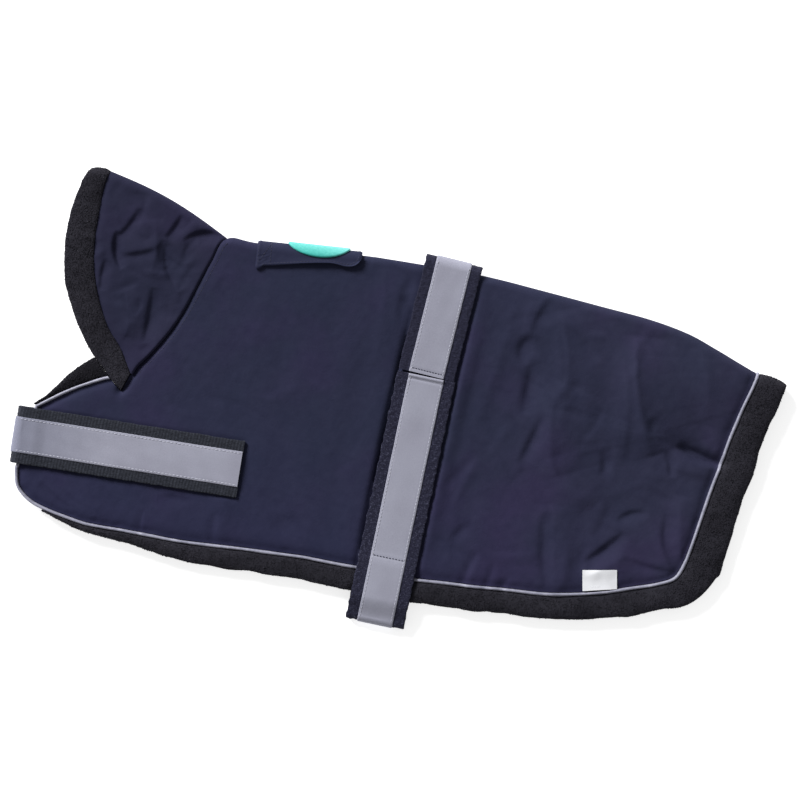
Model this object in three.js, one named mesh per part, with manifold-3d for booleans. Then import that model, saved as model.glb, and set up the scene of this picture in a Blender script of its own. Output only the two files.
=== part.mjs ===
// A dog raincoat, folded in two along its back and lying flat on its far side.
// Millimetres, +Z up. X runs along the back from the neck to the tail, and Y from the hem up to the back.
// Places in plan are measured from the nape, where the collar meets the fold of the back.
import * as THREE from "three";
import { mergeVertices } from "three/addons/utils/BufferGeometryUtils.js";
import Module from "manifold-3d";

const wasm = await Module();
wasm.setup();

// Cloth and heights
const WALL = 4; // shell, wadding and fleece lining, sewn as one cloth
const LAYER_GAP = 0.4; // air between the near and the far half at the hem
const HEM_TOP = 2 * WALL + LAYER_GAP; // lowest height of the near half
const SIDE_TOP = HEM_TOP + 0.4; // its usual height low on the side
const BACK_TOP = 11.6; // height of the rounded fold along the back
const HIGHEST_TOP = 11.9; // the near half stands no higher, so its lining stays close to the far one
const BACK_REACH = 75; // how far from the fold its height is felt
const SEAM_GAP = 0.3; // between pieces that are sewn together
const LIFT = 0.4; // between the near half and what lies on it
const CENTRE = { x: 144, y: -105.2 }; // middle of the whole outline in plan

// Piping, straps and trims
const PIPING = 3; // width of the reflective piping
const WEBBING_WIDTH = 40; // hook-and-loop webbing of both straps
const WEBBING = 2; // its thickness
const TAPE_WIDTH = 25; // reflective tape along the middle of the webbing
const TAPE = 0.5; // its thickness
const FLAP_THICKNESS = 1.6;
const PATCH_THICKNESS = 1.2;
const TAB_THICKNESS = 0.6;

// Fineness of the walls
const ARC_ROWS = 3; // rows over each quarter of the fold
const BODY_ROWS = 12;
const COLLAR_LINES = 6;
const STATION_STEP = 20; // longest step between two lines across the body
const TAIL_ROWS = 8;
const FRONT_ROWS = 3;

// Lines across one side of the body: from the neck opening or the back down to the piping at the hem.
// The border is the width of fleece that shows beyond the piping, at the hem and at the neck opening.
const CHEST = [
  { topX: -100, topY: -146, hemX: -103, hemY: -191.5, border: 0, neckBorder: 0.8 },
  { topX: -93, topY: -140, hemX: -98.5, hemY: -203.5, border: 0, neckBorder: 2 },
  { topX: -83.5, topY: -132, hemX: -88, hemY: -211.5, border: 0, neckBorder: 5.5 },
  { topX: -70, topY: -122.5, hemX: -73, hemY: -215, border: 1.2, neckBorder: 11.5 },
  { topX: -54, topY: -114, hemX: -54, hemY: -217, border: 3.5, neckBorder: 17 },
  { topX: -45, topY: -120, hemX: -46, hemY: -217.5, border: 4, neckBorder: 17 },
];

// The neck's lines also cross the collar: its seam to the body is their top, then come the inner edge
// of its fleece band and the rim that the neck goes through.
const NECK = [
  { topX: -40.5, topY: -109, hemX: -41, hemY: -217.3, bandX: -42.5, bandY: -107.5, rimX: -46, rimY: -121, border: 4.5 },
  { topX: -38, topY: -102, hemX: -35, hemY: -217, bandX: -54, bandY: -92, rimX: -68, rimY: -104, border: 5 },
  { topX: -33, topY: -94, hemX: -28, hemY: -216.5, bandX: -66, bandY: -80, rimX: -85.5, rimY: -85, border: 5.5 },
  { topX: -26.5, topY: -82, hemX: -22, hemY: -216, bandX: -77, bandY: -62, rimX: -98, rimY: -65, border: 6 },
  { topX: -20.5, topY: -69, hemX: -16, hemY: -215.6, bandX: -85, bandY: -43, rimX: -105.5, rimY: -47.5, border: 6.5 },
  { topX: -15.5, topY: -54, hemX: -11, hemY: -215.2, bandX: -89, bandY: -25.5, rimX: -109, rimY: -29, border: 7 },
  { topX: -11, topY: -36, hemX: -7, hemY: -214.8, bandX: -91, bandY: -5.5, rimX: -110, rimY: -6, border: 7.5 },
  { topX: -6.5, topY: -18.5, hemX: -3, hemY: -214.5, bandX: -92, bandY: 13, rimX: -108, rimY: 14.5, border: 8 },
];
const NAPE = { topX: 0, topY: 0, hemX: 2, hemY: -214, bandX: -90.5, bandY: 25.5, rimX: -103.5, rimY: 25, border: 8.5 };
const BACK = [
  { topX: 24, topY: 2.4, hemX: 27, hemY: -212, border: 12 },
  { topX: 94, topY: 11.8, hemX: 98, hemY: -203.5, border: 14 },
  { topX: 112, topY: 13.8, hemX: 116, hemY: -202, border: 14.5 },
  { topX: 144, topY: 16.5, hemX: 146, hemY: -200, border: 14.5 },
  { topX: 183, topY: 19, hemX: 187, hemY: -198, border: 14 },
  { topX: 221, topY: 19, hemX: 229, hemY: -192.5, border: 15 },
  { topX: 264, topY: 18.5, hemX: 273, hemY: -186, border: 15.5 },
  { topX: 300, topY: 18, hemX: 311, hemY: -176, border: 16.5 },
  { topX: 328, topY: 15, hemX: 336, hemY: -166, border: 17 },
  { topX: 349, topY: 9.5, hemX: 351, hemY: -159, border: 16.5 },
  { topX: 364, topY: 5, hemX: 361.5, hemY: -151.5, border: 18 },
  { topX: 379, topY: 0.5, hemX: 365.5, hemY: -138, border: 21 },
];
const SECTIONS = [...CHEST, ...NECK, NAPE, ...BACK];
const LAST = SECTIONS.length - 1;
const THROAT = CHEST.length; // the collar starts at this section
const NAPE_AT = CHEST.length + NECK.length;
const HEM_BORDER_END = 3; // the hem's border runs out at this section
const TAIL_BORDER = 20; // its width where it goes over the fold at the tail
const NAPE_BULGE = 4; // the collar's fold bows up between the nape and the rim

// Cross sections of the bindings: across from the inner to the outer edge, how far the outside stands
// proud of the shell, and how far the underside is rounded up.
const FLEECE_PROFILE = [
  { across: 0, proud: 0.5, under: 0 },
  { across: 0.5, proud: 0.8, under: 0 },
  { across: 0.86, proud: 0.3, under: 0.2 },
  { across: 1, proud: -1.4, under: 1.2 },
];
const PIPING_PROFILE = [
  { across: 0, proud: 0, under: 0 },
  { across: 0.5, proud: 0.9, under: 0 },
  { across: 1, proud: 0, under: 0 },
];
const BINDING_PROUD = 0.9; // what a strap rides over at the piping and the border

// The largest folds of the near half: a line from one place to another, its half width, and its depth.
// A ridge has a negative depth.
const FOLDS = [
  { fromX: 118, fromY: 8, toX: 124, toY: -180, half: 9, depth: 1.2 },
  { fromX: 228, fromY: 8, toX: 224, toY: -72, half: 10, depth: 1 },
  { fromX: 279, fromY: -12, toX: 306, toY: -82, half: 10, depth: -0.9 },
  { fromX: 293, fromY: -8, toX: 312, toY: -66, half: 9, depth: 1.6 },
  { fromX: 322, fromY: -60, toX: 366, toY: -68, half: 9, depth: 2.4 },
  { fromX: 322, fromY: -80, toX: 362, toY: -88, half: 9, depth: -1.2 },
  { fromX: 254, fromY: -100, toX: 291, toY: -123, half: 10, depth: 1 },
  { fromX: 262, fromY: -142, toX: 268, toY: -172, half: 8, depth: 1.4 },
  { fromX: 307, fromY: -132, toX: 298, toY: -150, half: 8, depth: 1.2 },
  { fromX: -76, fromY: -10, toX: -67, toY: -42, half: 8, depth: 2 },
  { fromX: -72, fromY: -8, toX: -54, toY: 6, half: 8, depth: 1.4 },
  { fromX: -34, fromY: -4, toX: -6, toY: 2, half: 7, depth: 1.4 },
  { fromX: -36, fromY: -20, toX: -20, toY: -48, half: 8, depth: 1.2 },
  { fromX: -42, fromY: -62, toX: -36, toY: -88, half: 8, depth: 1.5 },
];

// A strap's middle line in plan: its outermost point where it turns round the coat, the direction in degrees
// from there over the near half, and the lengths of its runs over the near and under the far half.
const CHEST_STRAP = { x: -111.5, y: -168.8, angle: 5.3, near: 161, far: 105 };
const GIRTH_UPPER = { x: 157.5, y: 25.2, angle: -89.7, near: 83.4, far: 83.4 };
const GIRTH_LOWER = { x: 165.8, y: -236, angle: 92.4, near: 176.5, far: 176.5 };
const TURNED_UNDER = 6.2; // inner height of the girth strap where it turns under, clear of the hem
const HEM_OVERHANG = 20; // it goes on this far past the hem
const TAPE_TURN = 143; // degrees that a tape follows its strap round, to just above the floor

// The lead flap sewn over the fold, the round patch on it, and the tab sewn in at the piping.
// Along the flap's axis and down from it, in plan.
const FLAP_AXIS = { x: 57.5, y: 9.2, angle: 8.1 };
const FLAP_EDGE = [
  { along: -36.8, down: 17 },
  { along: -26.8, down: 18 },
  { along: -6, down: 13.7 },
  { along: 8, down: 11.6 },
  { along: 22, down: 12.2 },
  { along: 29, down: 12 },
  { along: 34, down: 7.8 },
  { along: 36.5, down: 3 },
];
const FLAP_ENDS = { left: -37, right: 37 };
const PATCH = { at: 6.3, halfLength: 24, centre: 5.5, halfWidth: 13 };
const PATCH_TURN = 138;
const TAB = { x: 310.2, y: -166.2, angle: 14.6, width: 24, height: 13 };

const COLOURS = {
  navy: 0x2e2e46,
  fleece: 0x25242b,
  reflective: 0x9497a6,
  webbing: 0x1d1d28,
  turquoise: 0x46d5c6,
  white: 0xeeeef0,
};

const point = (x, y) => new THREE.Vector2(x, y);
const mix = THREE.MathUtils.lerp;
const rad = THREE.MathUtils.degToRad;

// The fold of the whole coat in plan, from the collar's rim to the tail.
const FOLD_LINE = [point(NAPE.rimX, NAPE.rimY), ...[NAPE, ...BACK].map((row) => point(row.topX, row.topY))];

function foldYAt(x) {
  let k = 0;
  while (k < FOLD_LINE.length - 2 && FOLD_LINE[k + 1].x < x) k++;
  const [from, to] = [FOLD_LINE[k], FOLD_LINE[k + 1]];
  const share = THREE.MathUtils.clamp((x - from.x) / (to.x - from.x), 0, 1);
  return mix(from.y, to.y, share);
}

// Height of the near half's outer face.
function topAt(x, y) {
  const drop = Math.max(foldYAt(x) - y, 0) / BACK_REACH;
  let z = SIDE_TOP + (BACK_TOP - SIDE_TOP) * Math.exp(-drop * drop);
  for (const fold of FOLDS) {
    const along = point(fold.toX - fold.fromX, fold.toY - fold.fromY);
    const offset = point(x - fold.fromX, y - fold.fromY);
    const share = THREE.MathUtils.clamp(offset.dot(along) / along.lengthSq(), 0, 1);
    const away = offset.sub(along.multiplyScalar(share)).length() / fold.half;
    const strength = 0.35 + 0.65 * Math.sin(Math.PI * share);
    z -= fold.depth * strength * Math.exp(-away * away);
  }
  return THREE.MathUtils.clamp(z, HEM_TOP, HIGHEST_TOP);
}

// Closes a wall from pairs of outer and inner points and the faces of its outer side.
function closeWall(pairs, faces) {
  const count = pairs.length;
  const positions = [...pairs.map((pair) => pair.outer), ...pairs.map((pair) => pair.inner)];
  const triangles = faces.flatMap(([a, b, c]) => [[a, b, c], [c + count, b + count, a + count]]);
  const edges = new Set(faces.flatMap(([a, b, c]) => [`${a},${b}`, `${b},${c}`, `${c},${a}`]));
  for (const edge of edges) {
    const [a, b] = edge.split(",").map(Number);
    if (edges.has(`${b},${a}`)) continue;
    triangles.push([b, a, a + count], [b, a + count, b + count]);
  }
  const geometry = new THREE.BufferGeometry();
  const values = positions.flatMap((position) => position.toArray());
  geometry.setAttribute("position", new THREE.Float32BufferAttribute(values, 3));
  geometry.setIndex(triangles.flat());
  return geometry;
}

// One line of a wall in space: rows round the quarter of the fold, then one row at each further point of its path.
// An open line has no fold, because its two halves are apart at the neck opening.
function wallRows({ path, open = false, proud = 0, under = 0 }) {
  const start = path[0];
  const ahead = path[1].clone().sub(start);
  const middle = topAt(start.x, start.y) / 2;
  const reach = open ? Math.min(middle, ahead.length() / 2) : middle;
  ahead.normalize();
  const seats = [];
  for (let j = 0; j <= ARC_ROWS; j++) {
    const turn = (j / ARC_ROWS) * (Math.PI / 2);
    const spread = 1 - Math.cos(turn);
    const out = reach * spread - (open ? 0 : proud * Math.cos(turn));
    const inn = open ? out : mix(WALL, middle, spread);
    const outer = start.clone().addScaledVector(ahead, out);
    const inner = start.clone().addScaledVector(ahead, inn);
    seats.push({ outer, inner, lift: open ? 1 : Math.sin(turn) });
  }
  for (const seat of path.slice(1)) seats.push({ outer: seat, inner: seat, lift: 1 });
  return seats.map(({ outer, inner, lift }) => {
    const top = topAt(outer.x, outer.y);
    const nearIn = Math.max(top - WALL, WALL + LAYER_GAP) + under;
    const at = (seat, z) => new THREE.Vector3(seat.x, seat.y, mix(middle, z, lift));
    return {
      near: { outer: at(outer, top + proud), inner: at(inner, nearIn) },
      far: { outer: at(outer, Math.max(0, -proud)), inner: at(inner, WALL - under) },
    };
  });
}

// A wall folded in two: the lines start on the fold and run over the near half, and the far half lies straight
// under it. They follow each other so that the near half faces up. One half can be made alone.
function foldedWall(lines, halves = ["near", "far"]) {
  const pairs = [];
  const grids = { near: [], far: [] };
  for (const line of lines) {
    const rows = wallRows(line);
    for (const half of halves) {
      const sharesFold = half === "far" && !line.open;
      const fold = sharesFold ? grids.near.at(-1)[0] : pairs.push(rows[0][half]) - 1;
      grids[half].push([fold, ...rows.slice(1).map((row) => pairs.push(row[half]) - 1)]);
    }
  }
  const faces = [];
  for (const half of halves) {
    const grid = grids[half];
    for (let i = 0; i + 1 < grid.length; i++)
      for (let j = 0; j + 1 < grid[i].length; j++) {
        const [a, b, c, d] = [grid[i][j], grid[i][j + 1], grid[i + 1][j + 1], grid[i + 1][j]];
        if (half === "near") faces.push([a, b, c], [a, c, d]);
        else faces.push([a, c, b], [a, d, c]);
      }
  }
  return closeWall(pairs, faces);
}

// The sections that the walls are drawn at, as places along the table, closer where it has more rows.
function stationsBetween(first, last) {
  const stations = [];
  for (let k = first; k < last; k++) {
    const [from, to] = [SECTIONS[k], SECTIONS[k + 1]];
    const topStep = Math.hypot(to.topX - from.topX, to.topY - from.topY);
    const hemStep = Math.hypot(to.hemX - from.hemX, to.hemY - from.hemY);
    const parts = Math.ceil(Math.max(topStep, hemStep) / STATION_STEP);
    for (let n = 0; n < parts; n++) stations.push(k + n / parts);
  }
  return [...stations, last];
}

// A smooth curve through two columns of a table.
function curveThrough(rows, xKey, yKey) {
  return new THREE.SplineCurve(rows.map((row) => point(row[xKey], row[yKey])));
}

const topCurve = curveThrough(SECTIONS, "topX", "topY");
const hemCurve = curveThrough(SECTIONS, "hemX", "hemY");
const topPoint = (station) => topCurve.getPoint(station / LAST);
const hemPoint = (station) => hemCurve.getPoint(station / LAST);

function valueAt(key, station) {
  const k = Math.min(Math.floor(station), LAST - 1);
  return mix(SECTIONS[k][key], SECTIONS[k + 1][key], station - k);
}

// The piping's middle line: down the tail from the fold, along the hem, up the front and along the neck opening.
// Each stop also has the width of the border there.
function pipingStops() {
  const stops = [];
  const tailTop = topPoint(LAST);
  const tailFoot = hemPoint(LAST);
  for (let j = 0; j < TAIL_ROWS; j++) {
    const share = j / TAIL_ROWS;
    const border = mix(TAIL_BORDER, SECTIONS[LAST].border, share);
    stops.push({ at: tailTop.clone().lerp(tailFoot, share), border, part: "tail" });
  }
  for (const station of stationsBetween(0, LAST).reverse())
    stops.push({ at: hemPoint(station), border: valueAt("border", station), part: "hem", station });
  for (let j = 1; j < FRONT_ROWS; j++)
    stops.push({ at: hemPoint(0).lerp(topPoint(0), j / FRONT_ROWS), border: 0, part: "front" });
  for (const station of stationsBetween(0, THROAT - 2))
    stops.push({ at: topPoint(station), border: valueAt("neckBorder", station), part: "neck", station });
  return stops;
}

const STOPS = pipingStops();

// The piping's line moved sideways, away from the coat when the distance is positive, with its corners kept.
function besidePiping(distanceAt) {
  return STOPS.map((stop, k) => {
    const before = STOPS[Math.max(k - 1, 0)].at;
    const after = STOPS[Math.min(k + 1, STOPS.length - 1)].at;
    const into = stop.at.clone().sub(before).normalize();
    const out = after.clone().sub(stop.at).normalize();
    if (k === 0) into.copy(out);
    if (k === STOPS.length - 1) out.copy(into);
    const along = into.clone().add(out).normalize();
    const away = distanceAt(stop) / Math.max(along.dot(into), 0.5);
    return point(stop.at.x - along.y * away, stop.at.y + along.x * away);
  });
}

// Lines along the piping, from an inner to an outer edge with a cross section.
function bindingLines(profile, innerEdge, outerEdge, keep = () => true) {
  return profile.map(({ across, proud, under }) => {
    const path = besidePiping((stop) => mix(innerEdge(stop), outerEdge(stop), across));
    return { path: path.filter((_, k) => keep(STOPS[k])), proud, under };
  });
}

function pipingWall() {
  return foldedWall(bindingLines(PIPING_PROFILE, () => -PIPING / 2, () => PIPING / 2));
}

const borderInner = () => PIPING / 2 + SEAM_GAP;
const borderOuter = (stop) => borderInner() + stop.border;

function hemBorderWall() {
  const keep = (stop) => stop.part === "tail" || (stop.part === "hem" && stop.station >= HEM_BORDER_END);
  return foldedWall(bindingLines(FLEECE_PROFILE, borderInner, borderOuter, keep));
}

function neckBorderWall(half) {
  const keep = (stop) => stop.part === "neck";
  const lines = bindingLines(FLEECE_PROFILE, borderInner, borderOuter, keep);
  return foldedWall(lines.map((line) => ({ ...line, open: true })), [half]);
}

// The body: one panel over the back, with both its sides cut from the same sections.
function bodyWall() {
  const inset = besidePiping(() => -PIPING / 2 - SEAM_GAP);
  const insetAt = (part, station) => inset[STOPS.findIndex((stop) => stop.part === part && stop.station === station)];
  const lines = stationsBetween(0, LAST).map((station) => {
    const top = insetAt("neck", station) ?? (station === LAST ? inset[0] : topPoint(station));
    const hem = insetAt("hem", station);
    const path = [top];
    for (let j = 1; j <= BODY_ROWS; j++) path.push(top.clone().lerp(hem, j / BODY_ROWS));
    return { path, open: station < NAPE_AT };
  });
  return foldedWall(lines);
}

// Edges of the collar. Its lines start on the fold at the nape and run down to the throat.
const collarStations = stationsBetween(THROAT, NAPE_AT).reverse();
const collarRows = SECTIONS.slice(THROAT, NAPE_AT + 1);
const bandCurve = curveThrough(collarRows, "bandX", "bandY");
const rimCurve = curveThrough(collarRows, "rimX", "rimY");
const onCollar = (curve, station) => curve.getPoint((station - THROAT) / (NAPE_AT - THROAT));
const bandEdge = (station) => onCollar(bandCurve, station);
const rimEdge = (station) => onCollar(rimCurve, station);

// A line at a share of the way between two edges, less a gap beside each of them.
function acrossPath(fromEdge, toEdge, share, fromGap, toGap, bulge = 0) {
  return collarStations.map((station, j) => {
    const from = fromEdge(station);
    const to = toEdge(station);
    const width = from.distanceTo(to);
    const place = from.lerp(to, mix(fromGap / width, 1 - toGap / width, share));
    place.y += j === 0 ? bulge : 0;
    return place;
  });
}

function collarWall() {
  const lines = [];
  for (let i = 0; i <= COLLAR_LINES; i++) {
    const share = i / COLLAR_LINES;
    const bulge = NAPE_BULGE * Math.sin(Math.PI * share);
    lines.push({ path: acrossPath(topPoint, bandEdge, share, SEAM_GAP, SEAM_GAP / 2, bulge) });
  }
  return foldedWall(lines.reverse());
}

function collarBandWall() {
  const lines = FLEECE_PROFILE.map(({ across, proud, under }) => {
    return { path: acrossPath(bandEdge, rimEdge, across, SEAM_GAP / 2, 0), proud, under };
  });
  return foldedWall(lines.reverse());
}

function solidOf(geometry) {
  const bare = geometry.clone();
  bare.deleteAttribute("normal");
  bare.deleteAttribute("uv");
  const merged = mergeVertices(bare, 1e-4);
  const vertProperties = merged.attributes.position.array;
  const triVerts = new Uint32Array(merged.index.array);
  return new wasm.Manifold(new wasm.Mesh({ numProp: 3, vertProperties, triVerts }));
}

function geometryOf(solid) {
  const mesh = solid.getMesh();
  const geometry = new THREE.BufferGeometry();
  geometry.setAttribute("position", new THREE.BufferAttribute(mesh.vertProperties, 3));
  geometry.setIndex(new THREE.BufferAttribute(mesh.triVerts, 1));
  return geometry;
}

// A straight-sided block over an outline in plan, taller than the coat.
function blockOver(outline) {
  const below = 5;
  const depth = 30;
  const geometry = new THREE.ExtrudeGeometry(new THREE.Shape(outline), { depth, bevelEnabled: false });
  return solidOf(geometry.translate(0, 0, -below));
}

// The collar's lower end in plan, a seam's gap larger. The body and the neck border stop at it.
function collarEndBlock() {
  const rowsUp = 5;
  const low = collarStations.slice(-rowsUp);
  const rim = low.map((station) => {
    const edge = rimEdge(station);
    const outward = edge.clone().sub(topPoint(station)).normalize();
    return edge.addScaledVector(outward, SEAM_GAP);
  });
  const end = rim.at(-1).clone().add(point(SEAM_GAP, -SEAM_GAP));
  const seam = topPoint(THROAT).add(point(SEAM_GAP, -SEAM_GAP));
  const inside = topPoint(low[0]).lerp(rim[0], 0.03);
  return blockOver([...rim, end, seam, inside]);
}

// A strap or tape in the plane of its length and height: s runs from the outermost point of its turn over the
// near half. Its inner face is at the height cover(s) there, and at the height low under the far half.
function loopProfile({ near, far, cover, off, low, thick, turn = 180 }) {
  const step = 12;
  const turnSteps = 7;
  let radius = (cover(0) - low) / 2;
  for (let n = 0; n < 5; n++) radius = (cover(off + radius) - low) / 2;
  const centre = { s: off + radius, z: low + radius };
  const inner = [];
  const steps = Math.ceil((near - centre.s) / step);
  for (let k = 0; k < steps; k++) {
    const s = mix(near, centre.s, k / steps);
    inner.push({ s, z: cover(s), aside: 0, up: 1 });
  }
  for (let k = 0; k <= turnSteps; k++) {
    const angle = rad(90 + (turn * k) / turnSteps);
    const [aside, up] = [Math.cos(angle), Math.sin(angle)];
    inner.push({ s: centre.s + radius * aside, z: centre.z + radius * up, aside, up });
  }
  if (far > 0) inner.push({ s: far, z: low, aside: 0, up: -1 });
  const outer = inner.map(({ s, z, aside, up }) => ({ s: s + aside * thick, z: z + up * thick }));
  return [...inner, ...outer.reverse()].map(({ s, z }) => point(s, z));
}

// Carries such a profile across a width and lays it in plan along a strap's middle line.
function laid(profile, line, width) {
  const geometry = new THREE.ExtrudeGeometry(new THREE.Shape(profile), { depth: width, bevelEnabled: false });
  geometry.translate(0, 0, -width / 2).rotateX(Math.PI / 2);
  return geometry.rotateZ(rad(line.angle)).translate(line.x, line.y, 0);
}

// Greatest height of the near half under a strap, around a distance from the strap's outermost point.
function highestUnder(line, width, s) {
  const along = point(1, 0).rotateAround(point(0, 0), rad(line.angle));
  const across = point(-along.y, along.x);
  let highest = 0;
  for (const aside of [-0.5, -0.3, -0.1, 0.1, 0.3, 0.5])
    for (const ahead of [-9, -3, 3, 9]) {
      const place = point(line.x, line.y).addScaledVector(along, s + ahead);
      place.addScaledVector(across, aside * width);
      highest = Math.max(highest, topAt(place.x, place.y));
    }
  return highest;
}

// Extra height over the piping and the border, which end at a distance from the strap's outermost point.
const overBinding = (s, end) => BINDING_PROUD * (1 - THREE.MathUtils.smoothstep(s, end, end + 10));

function girthLowerCover(s) {
  const bindingEnd = 42;
  const over = Math.max(s, HEM_OVERHANG);
  const lying = highestUnder(GIRTH_LOWER, WEBBING_WIDTH, over) + LIFT + overBinding(over, bindingEnd);
  return mix(TURNED_UNDER, lying, THREE.MathUtils.smoothstep(s, 4, HEM_OVERHANG - 1));
}

function chestCover(s) {
  const bindingEnd = 14;
  return highestUnder(CHEST_STRAP, WEBBING_WIDTH, s) + LIFT + overBinding(s, bindingEnd);
}

const STRAPS = [
  { name: "chest_strap", line: CHEST_STRAP, cover: chestCover },
  {
    name: "girth_strap_upper",
    line: GIRTH_UPPER,
    cover: (s) => highestUnder(GIRTH_UPPER, WEBBING_WIDTH, s) + LIFT,
  },
  { name: "girth_strap_lower", line: GIRTH_LOWER, cover: girthLowerCover },
];
const TAPE_OFFSET = WEBBING + SEAM_GAP; // from a strap's inner face to its tape's

// The grow argument makes the space that a strap needs under the far half.
function strapWall({ line, cover }, grow = 0) {
  const profile = loopProfile({
    near: line.near + grow,
    far: line.far + grow,
    cover: (s) => cover(s) - grow,
    off: TAPE + TAPE_OFFSET + grow,
    low: WEBBING + grow,
    thick: WEBBING + 2 * grow,
  });
  return laid(profile, line, WEBBING_WIDTH + 2 * grow);
}

function tapeWall({ line, cover }) {
  const profile = loopProfile({
    near: line.near,
    far: 0,
    cover: (s) => cover(s) + TAPE_OFFSET,
    off: TAPE,
    low: WEBBING - TAPE_OFFSET,
    thick: TAPE,
    turn: TAPE_TURN,
  });
  return laid(profile, line, TAPE_WIDTH);
}

// Cloth wrapped round the fold of the back under the flap's axis. Its inner face lies outside the flap's own
// inner face by the distance inside.
function wrapped({ inside, thick, far, turn }) {
  const halfLength = 45;
  const near = 30;
  const line = { x: FLAP_AXIS.x, y: FLAP_AXIS.y, angle: FLAP_AXIS.angle - 90 };
  const height = highestUnder(line, 2 * halfLength, 0) + LIFT + inside;
  const low = FLAP_THICKNESS - inside;
  const profile = loopProfile({ near, far, cover: () => height, off: low, low, thick, turn });
  return solidOf(laid(profile, line, 2 * halfLength));
}

// A block over an outline that is drawn along and down from the flap's axis.
function blockOnFlap(outline) {
  const places = outline.map(({ along, down }) => {
    const place = point(along, -down).rotateAround(point(0, 0), rad(FLAP_AXIS.angle));
    return place.add(point(FLAP_AXIS.x, FLAP_AXIS.y));
  });
  return blockOver(places);
}

function flapSolid(grow = 0) {
  const above = -12;
  const edge = curveThrough(FLAP_EDGE, "along", "down").getPoints(12);
  const [left, right] = [FLAP_ENDS.left - grow, FLAP_ENDS.right + grow];
  const outline = [
    { along: left, down: above },
    { along: left, down: edge[0].y + grow },
    ...edge.map(({ x, y }) => ({ along: x + grow / 2, down: y + grow })),
    { along: right, down: edge.at(-1).y - 2 },
    { along: right, down: above },
  ];
  const cloth = wrapped({ inside: -grow, thick: FLAP_THICKNESS + 2 * grow, far: 30 });
  return cloth.intersect(blockOnFlap(outline));
}

function patchSolid() {
  const steps = 20;
  const outline = [];
  for (let k = 0; k < steps; k++) {
    const angle = (2 * Math.PI * k) / steps;
    const down = PATCH.halfWidth * Math.sin(angle) - PATCH.centre;
    outline.push({ along: PATCH.at + PATCH.halfLength * Math.cos(angle), down });
  }
  const cloth = wrapped({ inside: FLAP_THICKNESS + SEAM_GAP, thick: PATCH_THICKNESS, far: 0, turn: PATCH_TURN });
  return cloth.intersect(blockOnFlap(outline));
}

function tabBox() {
  const z = highestUnder(TAB, TAB.height, 0) + SEAM_GAP;
  const geometry = new THREE.BoxGeometry(TAB.width, TAB.height, TAB_THICKNESS);
  return geometry.rotateZ(rad(TAB.angle)).translate(TAB.x, TAB.y, z + TAB_THICKNESS / 2);
}

const coat = new THREE.Group();
coat.position.set(-CENTRE.x, -CENTRE.y, 0);

function addPiece(name, geometry, color, roughness) {
  const material = new THREE.MeshStandardMaterial({ color, roughness, metalness: 0 });
  const mesh = new THREE.Mesh(geometry, material);
  mesh.name = name;
  coat.add(mesh);
}

// What the far half lies on is let into it, so that the whole underside rests on one level.
const letIn = [...STRAPS.map((strap) => solidOf(strapWall(strap, SEAM_GAP))), flapSolid(SEAM_GAP)];

function fitted(geometry, ...others) {
  return geometryOf([...letIn, ...others].reduce((solid, other) => solid.subtract(other), solidOf(geometry)));
}

const collarEnd = collarEndBlock();
addPiece("body", fitted(bodyWall(), collarEnd), COLOURS.navy, 0.6);
addPiece("collar", collarWall(), COLOURS.navy, 0.6);
addPiece("collar_band", collarBandWall(), COLOURS.fleece, 1);
addPiece("hem_border", fitted(hemBorderWall()), COLOURS.fleece, 1);
for (const half of ["near", "far"])
  addPiece(`neck_border_${half}`, fitted(neckBorderWall(half), collarEnd), COLOURS.fleece, 1);
addPiece("piping", fitted(pipingWall(), collarEnd), COLOURS.reflective, 0.5);
for (const strap of STRAPS) {
  addPiece(strap.name, strapWall(strap), COLOURS.webbing, 0.9);
  addPiece(`${strap.name}_tape`, tapeWall(strap), COLOURS.reflective, 0.4);
}
addPiece("lead_flap", geometryOf(flapSolid()), COLOURS.navy, 0.6);
addPiece("flap_patch", geometryOf(patchSolid()), COLOURS.turquoise, 0.6);
addPiece("tab", tabBox(), COLOURS.white, 0.8);

export default coat;
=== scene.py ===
"""A dog raincoat, folded in two along its back and lying flat on its far side.

Places in plan are in millimetres from the nape, where the collar meets the fold of the back. X runs along the
back to the tail and Y from the hem up to the back. The near half faces up and the far half lies on the floor.
"""
import math

import bmesh
import bpy
import numpy as np
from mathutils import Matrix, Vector


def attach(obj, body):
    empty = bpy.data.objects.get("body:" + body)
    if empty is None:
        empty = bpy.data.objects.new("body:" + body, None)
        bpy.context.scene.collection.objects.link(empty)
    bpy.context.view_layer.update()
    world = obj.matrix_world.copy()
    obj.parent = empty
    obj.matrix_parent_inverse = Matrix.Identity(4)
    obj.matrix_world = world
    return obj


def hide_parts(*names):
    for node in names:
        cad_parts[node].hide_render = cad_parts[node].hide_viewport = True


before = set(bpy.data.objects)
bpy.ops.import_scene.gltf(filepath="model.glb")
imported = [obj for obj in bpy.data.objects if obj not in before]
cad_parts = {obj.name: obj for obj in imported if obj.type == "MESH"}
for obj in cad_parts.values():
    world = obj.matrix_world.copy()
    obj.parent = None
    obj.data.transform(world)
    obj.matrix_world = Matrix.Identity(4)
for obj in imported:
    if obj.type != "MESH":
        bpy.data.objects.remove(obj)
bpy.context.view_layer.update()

MM = 0.001
CENTRE = np.array([144.0, -105.2])  # middle of the outline in plan, where the frame has its origin

# Heights of the cloth
WALL = 4.0
LINING_GAP = 0.4
LEAST_HEIGHT = WALL + LINING_GAP + 0.5
SIDE_TOP = 8.8
BACK_TOP = 11.6
BACK_REACH = 75.0
REACH = BACK_TOP / 2  # radius of the rounded fold
SEAM_GAP = 0.3
LIFT = 0.4

PIPING = 2.5
WEBBING_WIDTH = 40.0
WEBBING = 2.0
TAPE_WIDTH = 25.0
TAPE = 0.5
TAPE_RISE = WEBBING + 0.12  # height of the tape's underside over that of the webbing
FLAP_THICKNESS = 1.6
PATCH_THICKNESS = 1.2
PATCH_EDGE = 0.35


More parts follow.
